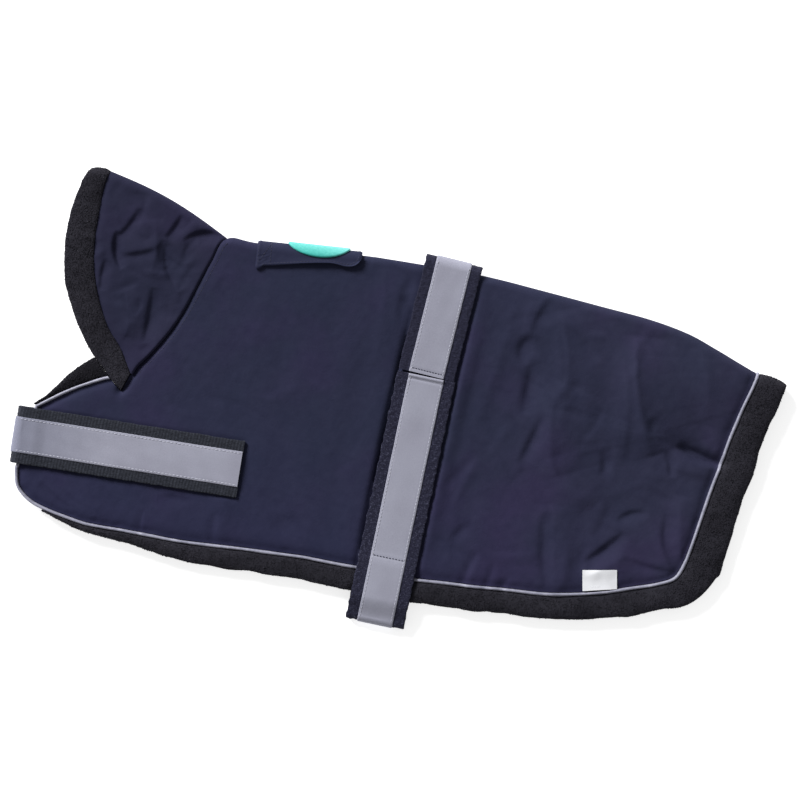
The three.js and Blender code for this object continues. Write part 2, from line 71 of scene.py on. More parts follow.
def columns(names, rows):
    """A table with named columns, each as an array."""
    return {name: np.array(values, dtype=float) for name, values in zip(names.split(), zip(*rows))}


# Lines across one side of the body, from the front of the chest to the tail. Each runs from the neck or the
# back down to the hem's piping. The width of fleece beyond the piping is given at the hem and at the neck.
SECTIONS = columns("top_x top_y hem_x hem_y border neck_border", [
    (-100, -146, -103, -191.5, 0, 0.8),
    (-93, -140, -98.5, -203.5, 0, 2),
    (-83.5, -132, -88, -211.5, 0, 5.5),
    (-70, -122.5, -73, -215, 1.2, 11.5),
    (-54, -114, -54, -217, 3.5, 17),
    (-45, -120, -46, -217.5, 4, 17),
    (-40.5, -109, -41, -217.3, 4.5, 0),
    (-38, -102, -35, -217, 5, 0),
    (-33, -94, -28, -216.5, 5.5, 0),
    (-26.5, -82, -22, -216, 6, 0),
    (-20.5, -69, -16, -215.6, 6.5, 0),
    (-15.5, -54, -11, -215.2, 7, 0),
    (-11, -36, -7, -214.8, 7.5, 0),
    (-6.5, -18.5, -3, -214.5, 8, 0),
    (0, 0, 2, -214, 8.5, 0),
    (24, 2.4, 27, -212, 12, 0),
    (94, 11.8, 98, -203.5, 14, 0),
    (112, 13.8, 116, -202, 14.5, 0),
    (144, 16.5, 146, -200, 14.5, 0),
    (183, 19, 187, -198, 14, 0),
    (221, 19, 229, -192.5, 15, 0),
    (264, 18.5, 273, -186, 15.5, 0),
    (300, 18, 311, -176, 16.5, 0),
    (328, 15, 336, -166, 17, 0),
    (349, 9.5, 351, -159, 16.5, 0),
    (364, 5, 361.5, -151.5, 19.5, 0),
    (379, 0.5, 365.5, -138, 24.5, 0),
])
# The collar's lines, from the throat to the nape: the inner edge of its fleece band, and its rim.
COLLAR = columns("band_x band_y rim_x rim_y", [
    (-42.5, -107.5, -46, -121),
    (-54, -92, -68, -104),
    (-66, -80, -85.5, -85),
    (-77, -62, -98, -65),
    (-85, -43, -105.5, -47.5),
    (-89, -25.5, -109, -29),
    (-91, -5.5, -110, -6),
    (-92, 13, -108, 14.5),
    (-90.5, 25.5, -103.5, 25),
])
LAST = len(SECTIONS["top_x"]) - 1
THROAT = 6
NAPE_AT = 14
NECK_END = THROAT - 2  # the neck's piping and fleece run up to this section
HEM_BORDER_START = 2.5
TAIL_BORDER = 20.0
TAIL_SWING = {"aside": 3.0, "reach": 26}  # of the piping at the fold
NAPE_BULGE = 4.0
THROAT_DEPTH = 118.0  # from the nape down to the collar's lower end

# Folds and creases of the near half: a line in plan, how far it bows to its left, the half widths on its left
# and right, and its height. A trough has a negative height.
CREASE_COLUMNS = "from_x from_y to_x to_y bow left right height"
CREASES = columns(CREASE_COLUMNS, [
    # beside the girth strap
    (133, 10, 134, -30, -4, 7, 3, -1.0),
    (137.0, -14, 144.2, -212, 0, 2, 2.8, -3.2),
    (116, 4, 121, -190, -3, 10, 9, -0.8),
    (104, 10, 134, -4, 5, 3, 8, -1.1),
    (128, -9, 142, -24, 2, 3, 3, -0.8),
    (177.8, 16, 178.6, -90, 0.4, 1.6, 2, -0.4),
    (178.4, -30, 185.8, -214, -0.3, 1.6, 2, -1.0),
    (181.6, 16, 182.4, -90, 0.4, 8, 2.4, 1.6),
    (182.4, -30, 189.6, -210, -0.4, 8, 2.4, 1.2),
    (190, 12, 193, -200, 1, 6, 4, -0.5),
    (192, 10, 190, -70, -2, 8, 5, 0.5),
    # the rear half of the back
    (230, 17, 222, -12, -1, 7, 2.2, -1.6),
    (224, -14, 224, -34, -6, 7, 3.4, -1.9),
    (227, -30, 230, -68, 1, 8, 3.6, -2.1),
    (244, -64, 236, -103, 1, 6, 2.6, -1.7),
    (238, 0, 272, -19, 2, 3, 9, -1.2),
    (241, -4, 254, -46, 3, 14, 3, -1.0),
    (256, -40, 259, -94, -6, 11, 3.4, -0.4),
    (255, -86, 289, -113, -5, 9, 3, -1.3),
    (286, -10, 304, -86, 4, 4, 9, 1.3),
    (298, 1, 324, -62, -4, 11, 3.4, -0.7),
    (297, -2, 322, 2, 5, 3, 8, -0.8),
    (316, -50, 322, -60, 1, 7, 3, -1.2),
    (322, -58, 377, -67, -4, 9, 3.4, -2.2),
    (340, -62.6, 377, -68, -2, 4.6, 2.3, -4.6),
    (334, -77, 367, -78, 0, 8, 4, 1.2),
    (333, -69, 341, -85, 1, 4, 1.8, -1.5),
    (289, -80, 293, -97, 3, 4, 2, -1.2),
    (303, -108, 298, -140, 4, 9, 4, -1.1),
    (341, -27, 368, -57, -3, 5, 6, -0.6),
    (262, -22, 274, -70, 3, 8, 6, 0.7),
    (210, -20, 206, -90, 3, 12, 7, -0.6),
    # low on the rear side
    (263, -130, 277, -183, -2, 10, 4, -2.0),
    (281, -146, 285, -182, 2, 4, 4, 0.8),
    (312, -125, 331, -114, 3, 1.9, 5, -1.4),
    (297, -158, 319, -131, -1, 2.4, 7, -2.3),
    (345, -110, 365, -150, -6, 8, 2.8, -1.7),
    (323, -148, 361, -149, -2, 2.4, 6, -1.3),
    (340, -124, 356, -148, 2, 4, 6, 0.8),
    (219, -199, 224, -168, 2, 4, 2, -1.2),
    (203, -168, 215, -150, 2, 2.4, 5, -0.9),
    (233, -199, 236, -172, -1, 3, 2, -0.8),
    (196, -118, 216, -148, 2, 9, 5, -0.6),
    (246, -196, 249, -180, 1, 4, 2, -1.2),
    # the front and the chest
    (-8, -217, -10, -198, 1, 4, 1.8, -0.6),
    (43, -211, 40, -186, 1, 4, 1.8, -0.8),
    (-3, -187, 21, -184, 1, 2, 5, -0.8),
    (12, -110, 60, -117, 3, 3, 6, -0.4),
    (56, -56, 66, -98, -3, 9, 6, -0.5),
    (-84, -197, -58, -210, -2, 2.4, 4, -1.0),
    (78, -192, 104, -176, 3, 5, 9, -0.6),
    (2, -30, 34, -54, 3, 6, 9, -0.5),
    (-30, -160, 6, -178, 4, 9, 6, -0.5),
    (84, -20, 90, -84, 3, 12, 9, -0.5),
    # the collar
    (-64, 5, -74, -18, 2, 5, 2, -1.9),
    (-75, -14, -66, -39, -3, 4.5, 1.9, -3.0),
    (-70, -27, -43, -14, -2, 6, 2.6, 1.2),
    (-69, -31, -46, -21, -1, 2.2, 4, -0.8),
    (-34, 8, -41, -11, 1, 5, 2, -2.0),
    (-42, -12, -38, -30, -2, 5, 2.4, -1.2),
    (-29, -10, 0, -1, 5, 2, 6, -2.7),
    (-32, -2, -8, 6, 2, 5, 5, 0.7),
    (-40, -14, -23, -44, -4, 6, 2.2, -1.8),
    (-41, -46, -38, -85, 1, 7, 2.8, -2.3),
    (-54, -52, -50, -84, 2, 5, 4, 0.6),
    (-78, -35, -76, -57, -1, 5, 2, -1.8),
    (-81, -28, -88, -36, 1, 3, 3, 0.7),
    (-24, -24, -20, -6, 3, 2.4, 5, -1.0),
    (-62, -56, -52, -74, 3, 5, 3, -0.8),
    (-14, -20, -22, -42, -2, 4, 3, -0.7),
    (-74, 10, -58, 14, 2, 3, 6, -0.7),
])
# Where two planes of the cloth meet in a crisp edge.
FACETS = columns(CREASE_COLUMNS, [
    (238, 8, 256, -58, 4, 30, 9, 4.4),
    (252, -40, 264, -104, -7, 32, 10, 4.2),
    (262, -90, 294, -118, -4, 12, 16, 2.6),
    (294, 4, 324, -74, -5, 32, 11, 7.0),
    (231, 20, 219, -18, -1, 14, 12, 2.2),
    (268, -124, 284, -186, -2, 12, 16, 2.6),
    (324, -144, 298, -168, 2, 14, 9, 2.2),
    (352, -96, 368, -152, -3, 10, 12, 2.2),
    (338, 8, 354, -44, 4, 18, 12, 2.0),
    (206, 14, 200, -84, 2, 20, 10, 1.4),
    (112, 6, 120, -62, 3, 16, 9, 1.3),
    (-52, 0, -46, -40, 3, 9, 7, 1.4),
    (-60, -50, -52, -84, 2, 8, 6, 1.2),
    (40, -150, 46, -206, 2, 16, 12, 1.1),
])
# Soft folds of the far half, which lies on the floor. The cloth can only rise there.
FAR_FOLDS = columns(CREASE_COLUMNS, [
    (112, 10, 120, -176, 4, 9, 7, 1.1),
    (206, 14, 214, -90, -6, 8, 6, 1.2),
    (250, -30, 286, -96, 6, 14, 8, 1.3),
    (300, -60, 372, -84, -6, 7, 5, 1.6),
    (262, -120, 280, -178, 4, 8, 6, 1.2),
    (20, -60, 48, -130, 6, 9, 7, 0.8),
    (-10, -150, 12, -206, 3, 6, 5, 0.9),
    (-72, -4, -60, -44, 3, 6, 5, 1.3),
    (-34, -4, -28, -62, -4, 5, 7, 1.1),
    (-44, -60, -38, -98, 2, 5, 4, 1.1),
])

# A strap's middle line in plan: its outermost point where it turns round the coat, the direction in degrees
# from there over the near half, and the lengths of its runs over the near and under the far half.
CHEST_STRAP = {"x": -111.5, "y": -168.8, "angle": 5.3, "near": 161, "far": 105}
GIRTH_UPPER = {"x": 157.5, "y": 25.2, "angle": -89.7, "near": 83.4, "far": 83.4}
GIRTH_LOWER = {"x": 165.8, "y": -236, "angle": 92.4, "near": 177.1, "far": 176.5}
TURNED_UNDER = 6.2  # inner height of the girth strap where it turns under, clear of the hem
HEM_OVERHANG = 20.0
STRAP_LOW = WEBBING  # height of a strap's inner face under the far half
TAPE_TURN = 143.0
PRESSED_EDGE = {"near": (-1.5, 2.5), "far": (0.5, 6)}  # where the cloth dips beside a strap on each half

FLAP_AXIS = {"x": 57.5, "y": 9.2, "angle": 8.1}
FLAP_LINE = {**FLAP_AXIS, "angle": FLAP_AXIS["angle"] - 90}  # down over the near half
FLAP_HALF = 36.6
UNDER_FLAP = {"half": 37, "down": 20, "edge": (0.5, 5)}  # where the far half goes over the flap
FLAP_EDGE = columns("along down curl", [
    (-FLAP_HALF, 19.4, 0),
    (-34.6, 19.8, 0),
    (-32.8, 19.3, 0),
    (-30.6, 17.7, 0),
    (-25.5, 17.0, 0.1),
    (-16.5, 15.4, 0.5),
    (-6, 13.6, 1.2),
    (4, 12.1, 1.7),
    (14.6, 10.9, 1.7),
    (20.4, 11.3, 1.3),
    (25.4, 12.2, 1.2),
    (30.3, 11.7, 1.6),
    (33.6, 9.9, 1.9),
    (35.9, 6.6, 1.7),
    (FLAP_HALF, 3, 1.2),
])
# Stitches in the flap, along it and down from its axis: a box where it is sewn down, and a row by its edge.
FLAP_BOX = [(-35.4, 1), (-35.4, 17.6), (-33.4, 18), (-31, 16.2), (-26.6, 15.2), (-26.6, 1), (-35.4, 16)]
FLAP_ROW = [(-26.6, 15.3), (-16.5, 13.7), (-6, 11.9), (4, 10.4), (14.6, 9.2), (20.4, 9.6), (25.4, 10.4),
            (29.6, 9.9), (32.2, 8.3), (34.2, 5.4), (34.8, 2)]
PATCH = {"at": 6.3, "half_length": 24, "centre": 5.5, "half_width": 13, "end": 0.905}
TAB = {"x": 310.2, "y": -166.2, "angle": 14.6, "width": 24, "height": 13, "foot_left": 1.7, "foot_right": 0.4,
       "thick": 0.35}

# Section of a fleece border, across it from the piping outward: how far it stands proud, and how far its
# inner face lies below the wall's.
FLEECE = columns("across proud under", [
    (0, -0.3, 0),
    (0.06, 0.3, 0),
    (0.16, 0.6, 0),
    (0.3, 0.8, 0),
    (0.45, 0.9, 0),
    (0.6, 0.85, 0),
    (0.73, 0.6, 0.1),
    (0.84, 0.25, 0.3),
    (0.92, -0.25, 0.6),
    (0.975, -0.8, 0.9),
    (1, -1.5, 1.2),
])

# Soft unevenness of each thing: its height, its seed, and its shortest and longest wave.
WAVES = {
    "cloth": (0.22, 11, 22, 60),
    "cloth_fine": (0.05, 12, 7, 14),
    "underside": (0.25, 13, 16, 50),
    "seam_pinches": (0.5, 15, 9, 24),
    "piping_line": (0.5, 16, 28, 80),
    "fleece_near": (0.35, 18, 8, 26),
    "fleece_far": (0.35, 19, 8, 26),
    "hem_border": (0.8, 21, 18, 55),
    "hem_border_fine": (0.15, 28, 5, 11),
    "neck_border": (0.8, 31, 18, 55),
    "neck_border_fine": (0.15, 38, 5, 11),
    "collar_band": (0.6, 41, 16, 45),
    "collar_band_fine": (0.15, 51, 5, 11),
    "piping_width": (0.07, 61, 20, 60),
    "flap_puckers": (0.22, 83, 3, 9),
}


# Curves and places in plan

def mix(a, b, share):
    return a + (b - a) * share


def smoothstep(x, low, high):
    share = np.clip((x - low) / (high - low), 0, 1)
    return share * share * (3 - 2 * share)


def bell(x, middle, width, power=2):
    """1 at the middle, falling off on both sides."""
    return np.exp(-np.abs((x - middle) / width) ** power)


def unit(vectors):
    return vectors / np.linalg.norm(vectors, axis=-1, keepdims=True)


def direction(degrees):
    return np.array([math.cos(math.radians(degrees)), math.sin(math.radians(degrees))])


def axes(line):
    """A line's start, its direction and the direction to its left, in plan."""
    ahead = direction(line["angle"])
    return np.array([line["x"], line["y"]]), ahead, np.array([-ahead[1], ahead[0]])


def placed(line, along, aside, z):
    """Places in space at distances along a line and to its left, and at a height."""
    start, ahead, left = axes(line)
    along, aside, z = np.broadcast_arrays(along, aside, z)
    return np.concatenate([start + along[..., None] * ahead + aside[..., None] * left, z[..., None]], axis=-1)


def pair(table, x, y):
    return np.column_stack([table[x], table[y]])


def spline(points, at):
    """Points on the smooth curve through a table's points, at places counted in rows of the table."""
    last = len(points) - 1
    at = np.atleast_1d(np.asarray(at, dtype=float))
    k = np.clip(np.floor(at).astype(int), 0, last - 1)
    w = (at - k)[:, None]
    p0, p1, p2, p3 = (points[np.clip(k + step, 0, last)] for step in (-1, 0, 1, 2))
    v0 = (p2 - p0) / 2
    v1 = (p3 - p1) / 2
    return ((2 * p1 - 2 * p2 + v0 + v1) * w + (-3 * p1 + 3 * p2 - 2 * v0 - v1)) * w * w + v0 * w + p1


TOPS = pair(SECTIONS, "top_x", "top_y")
HEMS = pair(SECTIONS, "hem_x", "hem_y")
BAND = pair(COLLAR, "band_x", "band_y")
RIM = pair(COLLAR, "rim_x", "rim_y")
FOLD_LINE = np.vstack([RIM[-1], TOPS[NAPE_AT:]])


def fold_y(x):
    return np.interp(x, FOLD_LINE[:, 0], FOLD_LINE[:, 1])


def run_along(path):
    """Distance from the start of a line, or of each line of a grid, to each of its points."""
    steps = np.linalg.norm(np.diff(path, axis=-2), axis=-1)
    return np.concatenate([np.zeros_like(steps[..., :1]), np.cumsum(steps, axis=-1)], axis=-1)


def resampled(path, distances):
    run = run_along(path)
    return np.column_stack([np.interp(distances, run, path[:, axis]) for axis in range(path.shape[1])])


def evenly(path, count):
    return resampled(path, np.linspace(0, run_along(path)[-1], count))


def beside(path, distances):
    """A line moved to its left by a distance at each point, with its corners kept."""
    steps = unit(np.diff(path, axis=0))
    into = np.vstack([steps[:1], steps])
    out = np.vstack([steps, steps[-1:]])
    along = unit(into + out)
    away = distances / np.maximum(np.sum(along * into, axis=1), 0.5)
    return path + np.column_stack([-along[:, 1], along[:, 0]]) * away[:, None]


def nearest_on(points, path):
    """Distance of points to a line, the share of the line where that is, and which side they are on."""
    steps = np.diff(path, axis=0)
    offset = points[:, None] - path[:-1]
    along = np.clip(np.sum(offset * steps, axis=2) / np.maximum(np.sum(steps * steps, axis=1), 1e-9), 0, 1)
    away = offset - along[..., None] * steps
    squared = np.sum(away * away, axis=2)
    best = np.argmin(squared, axis=1)
    pick = np.arange(len(points)), best
    side = steps[best, 0] * away[pick][:, 1] - steps[best, 1] * away[pick][:, 0]
    return np.sqrt(squared[pick]), (best + along[pick]) / len(steps), side


def distance_to(points, path):
    """Distance of many points to a line, worked out in blocks."""
    flat = points.reshape(-1, 2)
    block = 20000
    parts = [nearest_on(flat[k:k + block], path)[0] for k in range(0, len(flat), block)]
    return np.concatenate(parts).reshape(points.shape[:-1])


def crossings(path, outline):
    """Where a line meets an outline, as distances along the line."""
    run = run_along(path)
    a, b = path[:-1, None], path[1:, None]
    c, d = outline[:-1][None], outline[1:][None]
    r, s, gap = b - a, d - c, c - a
    cross = r[..., 0] * s[..., 1] - r[..., 1] * s[..., 0]
    cross = np.where(np.abs(cross) < 1e-9, 1e-9, cross)
    t = (gap[..., 0] * s[..., 1] - gap[..., 1] * s[..., 0]) / cross
    u = (gap[..., 0] * r[..., 1] - gap[..., 1] * r[..., 0]) / cross
    met = np.argwhere((t >= 0) & (t <= 1) & (u >= 0) & (u <= 1))
    return [mix(run[i], run[i + 1], t[i, j]) for i, j in met]


# Relief of the cloth

def ripples(points, seed, shortest, longest, waves=14):
    """Even, soft unevenness between -1 and 1, from seeded waves in many directions."""
    rng = np.random.default_rng(seed)
    total = np.zeros(points.shape[:-1])
    for _ in range(waves):
        length = rng.uniform(shortest, longest)
        heading = direction(rng.uniform(0, 360)) * 2 * math.pi / length
        total += np.sin(points @ heading + rng.uniform(0, 2 * math.pi))
    return total / math.sqrt(waves * 2)


def uneven(points, name, half=0):
    """One of the kinds of unevenness in the table, with a seed of its own for each half."""
    height, seed, shortest, longest = WAVES[name]
    return height * ripples(points, seed + half, shortest, longest)


def crease_heights(points, creases, roundness=2.0, cut_off=2.6):
    """Height of soft troughs and ridges at places in plan. A low roundness gives a crisp edge."""
    flat = points.reshape(-1, 2)
    total = np.zeros(len(flat))
    bends = 7
    for values in zip(*creases.values()):
        row = dict(zip(creases, values))
        start = np.array([row["from_x"], row["from_y"]])
        end = np.array([row["to_x"], row["to_y"]])
        ahead = unit(end - start)
        middle = (start + end) / 2 + np.array([-ahead[1], ahead[0]]) * 2 * row["bow"]
        t = np.linspace(0, 1, bends)[:, None]
        path = (1 - t) ** 2 * start + 2 * t * (1 - t) * middle + t * t * end
        reach = cut_off * max(row["left"], row["right"])
        inside = np.all((flat > path.min(axis=0) - reach) & (flat < path.max(axis=0) + reach), axis=1)
        if not inside.any():
            continue
        away, share, side = nearest_on(flat[inside], path)
        width = np.where(side > 0, row["left"], row["right"]) * (0.75 + 0.25 * np.sin(math.pi * share))
        strength = np.sin(math.pi * np.clip(share, 0, 1)) ** 0.7
        total[inside] += row["height"] * strength * bell(away, 0, width, roundness)
    return total.reshape(points.shape[:-1])


def scattered_creases(seed, count, low, high, length, height):
    """A table of small creases at seeded places in a rectangle of the plan."""
    rng = np.random.default_rng(seed)
    rows = []
    for _ in range(count):
        x, y = rng.uniform(low, high)
        heading = direction(rng.uniform(0, 360)) * rng.uniform(*length)
        narrow = rng.uniform(1.4, 3)
        wide = rng.uniform(3, 7)
        left, right = (narrow, wide) if rng.random() < 0.5 else (wide, narrow)
        up = rng.uniform(*height) * rng.choice([-1, 1])
        rows.append((x, y, x + heading[0], y + heading[1], rng.uniform(-3, 3), left, right, up))
    return columns(CREASE_COLUMNS, rows)


MINOR_CREASES = [
    scattered_creases(3, 46, (185, -175), (355, 5), (14, 40), (0.2, 0.55)),
    scattered_creases(4, 26, (-88, -95), (-12, 10), (10, 26), (0.2, 0.6)),
    scattered_creases(5, 40, (-85, -205), (135, -5), (14, 44), (0.1, 0.3)),
]


def on_line(points, line):
    """Distance along a strap or flap from its start, and across it from its middle line."""
    start, ahead, left = axes(line)
    offset = points - start
    return offset @ ahead, offset @ left


def pressed(points, run):
    """How far places lie under a strap: 0 outside, 1 well under it. The run is near or far."""
    most = np.zeros(points.shape[:-1])
    for strap in (CHEST_STRAP, GIRTH_UPPER, GIRTH_LOWER):
        along, across = on_line(points, strap)
        beyond = np.maximum(np.abs(across) - WEBBING_WIDTH / 2, along - strap[run])
        most = np.maximum(most, 1 - smoothstep(beyond, *PRESSED_EDGE[run]))
    return most


def form_height(points):
    """The near half's height without its creases."""
    drop = np.maximum(fold_y(points[..., 0]) - points[..., 1], 0)
    return SIDE_TOP + (BACK_TOP - SIDE_TOP) * bell(drop, 0, BACK_REACH)


def near_height(points):
    """Height of the near half's outer face at places in plan."""
    relief = crease_heights(points, CREASES)
    for creases in MINOR_CREASES:
        relief += crease_heights(points, creases)
    relief += uneven(points, "cloth") + uneven(points, "cloth_fine")
    relief += crease_heights(points, FACETS, roundness=1.15, cut_off=4)
    under = pressed(points, "near")
    return form_height(points) + np.where(relief > 0, relief * (1 - 0.8 * under), relief) - 0.5 * under


def far_height(points):
    """Height of the far half's outer face, which rests on the floor and goes over what is under it."""
    folds = np.clip(crease_heights(points, FAR_FOLDS) + uneven(points, "underside") - 0.2, 0, None)
    along, across = on_line(points, FLAP_AXIS)
    beyond = np.maximum(np.abs(along) - UNDER_FLAP["half"], -across - UNDER_FLAP["down"])
    under_flap = (FLAP_THICKNESS + SEAM_GAP) * (1 - smoothstep(beyond, *UNDER_FLAP["edge"]))
    under_strap = (WEBBING + SEAM_GAP) * pressed(points, "far")
    return np.maximum(np.maximum(folds, under_flap), under_strap)


# Meshes

def grid_faces(numbers):
    corners = [numbers[:-1, :-1], numbers[:-1, 1:], numbers[1:, 1:], numbers[1:, :-1]]
    return np.stack(corners, axis=-1).reshape(-1, 4)


def rim_faces(outer, inner):
    """Triangles between the edges of an outer grid and of an inner grid that is half as fine."""
    faces = []
    for side in (np.s_[0], np.s_[-1], np.s_[:, 0], np.s_[:, -1]):
        fine, coarse = outer[side], inner[side]
        a, m, b = fine[:-2:2], fine[1:-1:2], fine[2::2]
        c, d = coarse[:-1], coarse[1:]
        for corners in ((a, m, c), (m, d, c), (m, b, d)):
            faces.append(np.stack(corners, axis=-1))
    return np.concatenate(faces)


def place(points):
    """From millimetres at the nape to metres in the frame."""
    moved = points.reshape(-1, 3).copy()
    moved[:, :2] -= CENTRE
    return moved * MM


def add_piece(name, points, faces, materials, inner_from=None, sharp=50):
    """A mesh on the part's only body. Faces from the number inner_from on have the second material."""
    mesh = bpy.data.meshes.new(name)
    mesh.from_pydata(place(points).tolist(), [], faces)
    for material in materials:
        mesh.materials.append(material)
    if inner_from is not None:
        index = np.zeros(len(faces), dtype=np.int32)
        index[inner_from:] = 1
        mesh.polygons.foreach_set("material_index", index)
    mesh.polygons.foreach_set("use_smooth", np.ones(len(faces), dtype=bool))
    work = bmesh.new()
    work.from_mesh(mesh)
    bmesh.ops.recalc_face_normals(work, faces=work.faces)
    work.to_mesh(mesh)
    work.free()
    mesh.set_sharp_from_angle(angle=math.radians(sharp))
    piece = bpy.data.objects.new(name, mesh)
    bpy.context.scene.collection.objects.link(piece)
    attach(piece, "root")
    return piece


def add_wall(name, halves, materials, sharp=50):
    """A closed wall from pairs of outer and inner grids. Halves that meet in a fold become one wall."""
    points = []
    quads = []
    inner_quads = []
    rims = []
    count = 0
    for half in halves:
        numbers = []
        for grid in half:
            size = grid.shape[0] * grid.shape[1]
            numbers.append(count + np.arange(size).reshape(grid.shape[:2]))
            points.append(grid.reshape(-1, 3))
            count += size
        quads.append(grid_faces(numbers[0]))
        inner_quads.append(grid_faces(numbers[1]))
        rims.append(rim_faces(*numbers))
    points = np.concatenate(points)
    _, first, same = np.unique(np.round(points, 3), axis=0, return_index=True, return_inverse=True)
    same = same.reshape(-1)
    rims = same[np.concatenate(rims)]
    _, kept, times = np.unique(np.sort(rims, axis=1), axis=0, return_index=True, return_counts=True)
    outer_faces = same[np.concatenate(quads)].tolist() + rims[kept[times == 1]].tolist()
    faces = outer_faces + same[np.concatenate(inner_quads)].tolist()
    inner_from = len(outer_faces) if len(materials) > 1 else None
    return add_piece(name, points[first], faces, materials, inner_from, sharp)


def add_strip(name, outer, inner, material, sharp=60):
    """A wall that isn't folded in two, from an outer grid and an inner one that is half as fine."""
    return add_wall(name, [(outer, inner)], [material], sharp=sharp)


def folded_halves(near_paths, far_paths, proud=0, under=0, drop=0, dips=(0, 0), halves=("near", "far"),
                  lumpy=False):
    """Outer and inner grids of a wall that is folded in two, from its lines in plan.

    The lines start on the fold, or lower than it by the distance drop where the wall is open. A dip lowers
    the outer face of the near or raises that of the far half. A lumpy wall is uneven as fleece is.
    """
    made = []
    lines = len(near_paths)
    proud, under, drop = (np.broadcast_to(value, lines).astype(float) for value in (proud, under, drop))
    for half, paths, dip in zip(("near", "far"), (near_paths, far_paths), dips):
        if half not in halves:
            continue
        share = np.clip((run_along(paths) + drop[:, None]) / REACH, 0, 1)
        lift = np.sqrt(1 - (1 - share) ** 2)
        ahead = unit(paths[:, 1] - paths[:, 0])[:, None]
        out = paths - ahead * (proud[:, None] * (1 - share))[..., None]
        within = paths + ahead * (WALL * (1 - share))[..., None]
        lumps = uneven(paths, "fleece_" + half) if lumpy else 0
        if half == "near":
            height = np.maximum(near_height(paths) + dip, LEAST_HEIGHT)
            z = height + proud[:, None] + lumps
            z_in = np.maximum(height - WALL, WALL + LINING_GAP) + under[:, None]
        else:
            z = np.maximum(far_height(paths) + dip + lumps, 0)
            z += np.maximum(-proud, 0)[:, None]
            z_in = np.full(share.shape, WALL) - under[:, None]
        outer = np.dstack([out, mix(REACH, z, lift)])
        inner = np.dstack([within, mix(REACH, z_in, lift)])[::2, ::2]
        made.append((outer, inner))
    return made


def fold_steps(count, length, arc=8):
    """Distances along lines that start on the fold: close together round it, then even."""
    turn = np.linspace(0, math.pi / 2, arc + 1)
    rounded = REACH * (1 - np.cos(turn))
    even = np.linspace(0, 1, count - arc + 1)[1:]
    return np.concatenate([np.broadcast_to(rounded, np.shape(length) + rounded.shape),
                           REACH + (np.asarray(length)[..., None] - REACH) * even], axis=-1)


def refolded(line, count):
    return resampled(line, fold_steps(count, run_along(line)[-1]))


def stations(first, last, count):
    """Places along the table of sections, as even in plan as one count allows."""
    steps = np.maximum(np.diff(run_along(TOPS)), np.diff(run_along(HEMS)))
    along = np.concatenate([[0], np.cumsum(steps)])
    return np.interp(np.linspace(along[first], along[last], count + 1), along, np.arange(LAST + 1))


# The body's outline: the piping's line and the edges beside it

# Fineness of the meshes
NECK_STEPS = 40
NAPE_INDEX = 150
BACK_STEPS = 230
TAIL_STEPS = 96
FRONT_STEPS = 30
COLLAR_STEPS = 90
COLLAR_LINES = 97
BAND_ROWS = 140
BODY_ROWS = (150, 46)  # of the near and of the far half
COLLAR_ROWS = (150, 70)

STATIONS = np.concatenate([stations(0, NECK_END, NECK_STEPS),
                           stations(NECK_END, NAPE_AT, NAPE_INDEX - NECK_STEPS)[1:],
                           stations(NAPE_AT, LAST, BACK_STEPS)[1:]])
NECK_STATIONS = STATIONS[:NECK_STEPS + 1]
COLLAR_STATIONS = stations(THROAT, NAPE_AT, COLLAR_STEPS)[::-1]


def piping_stops():
    """The piping's line from the fold down the tail, along the hem, up the front and along the neck."""
    tail_top = spline(TOPS, LAST)[0]
    tail_foot = spline(HEMS, LAST)[0]
    length = np.linalg.norm(tail_foot - tail_top)
    tail = fold_steps(TAIL_STEPS, length)[:-1] / length
    hem = STATIONS[::-1]
    front = np.linspace(0, 1, FRONT_STEPS)[1:-1]
    rows = np.arange(LAST + 1)
    tail_border = mix(TAIL_BORDER, SECTIONS["border"][-1], tail ** 2)
    parts = [
        ("tail", mix(tail_top, tail_foot, tail[:, None]), tail_border, tail),
        ("hem", spline(HEMS, hem), np.interp(hem, rows, SECTIONS["border"]), hem),
        ("front", mix(spline(HEMS, 0), spline(TOPS, 0), front[:, None]), np.zeros(len(front)), front),
        ("neck", spline(TOPS, NECK_STATIONS), np.interp(NECK_STATIONS, rows, SECTIONS["neck_border"]),
         NECK_STATIONS),
    ]
    names = np.concatenate([[name] * len(at) for name, at, _, _ in parts])
    return names, *(np.concatenate([part[k] for part in parts]) for k in (1, 2, 3))


def waved(stops):
    """The piping's line with its small sideways bends, and swung out at the top of the tail."""
    run = run_along(stops)
    bends = uneven(stops, "piping_line") * smoothstep(run, 4, 30) * smoothstep(run[-1] - run, 70, 120)
    return beside(stops, bends + TAIL_SWING["aside"] * bell(run, 0, TAIL_SWING["reach"]))


STOP_PART, STOP_PLAN, STOP_BORDER, STOP_STATION = piping_stops()
STOP_AT = waved(STOP_PLAN)
STOP_RUN = run_along(STOP_AT)
PIPING_EDGE = beside(STOP_AT, np.full(len(STOP_AT), -PIPING / 2 - SEAM_GAP))


def collar_end():
    """The collar's lower end in plan, which the body, the piping and the neck's fleece stop at."""
    places = np.linspace(THROAT, THROAT + 3.2, 24)
    rim = spline(RIM, places - THROAT)
    seam = spline(TOPS, places)
    edge = rim + unit(rim - seam) * 0.8
    foot = [RIM[0] + (0.5, -1.0), BAND[0] + (0.5, -0.9), seam[0] + (SEAM_GAP, -SEAM_GAP)]
    return np.vstack([mix(seam[-1], edge[-1], 0.03), edge[::-1], foot]), np.array(foot)


COLLAR_END, COLLAR_FOOT = collar_end()
COLLAR_SEAM = spline(TOPS, np.linspace(THROAT, NAPE_AT, 40))


def stopped_at_collar(path):
    """A line that runs towards the collar, cut short where it meets it."""
    met = crossings(path, COLLAR_END)
    length = min(met) if met else run_along(path)[-1]
    return resampled(path, np.linspace(0, length, len(path)))


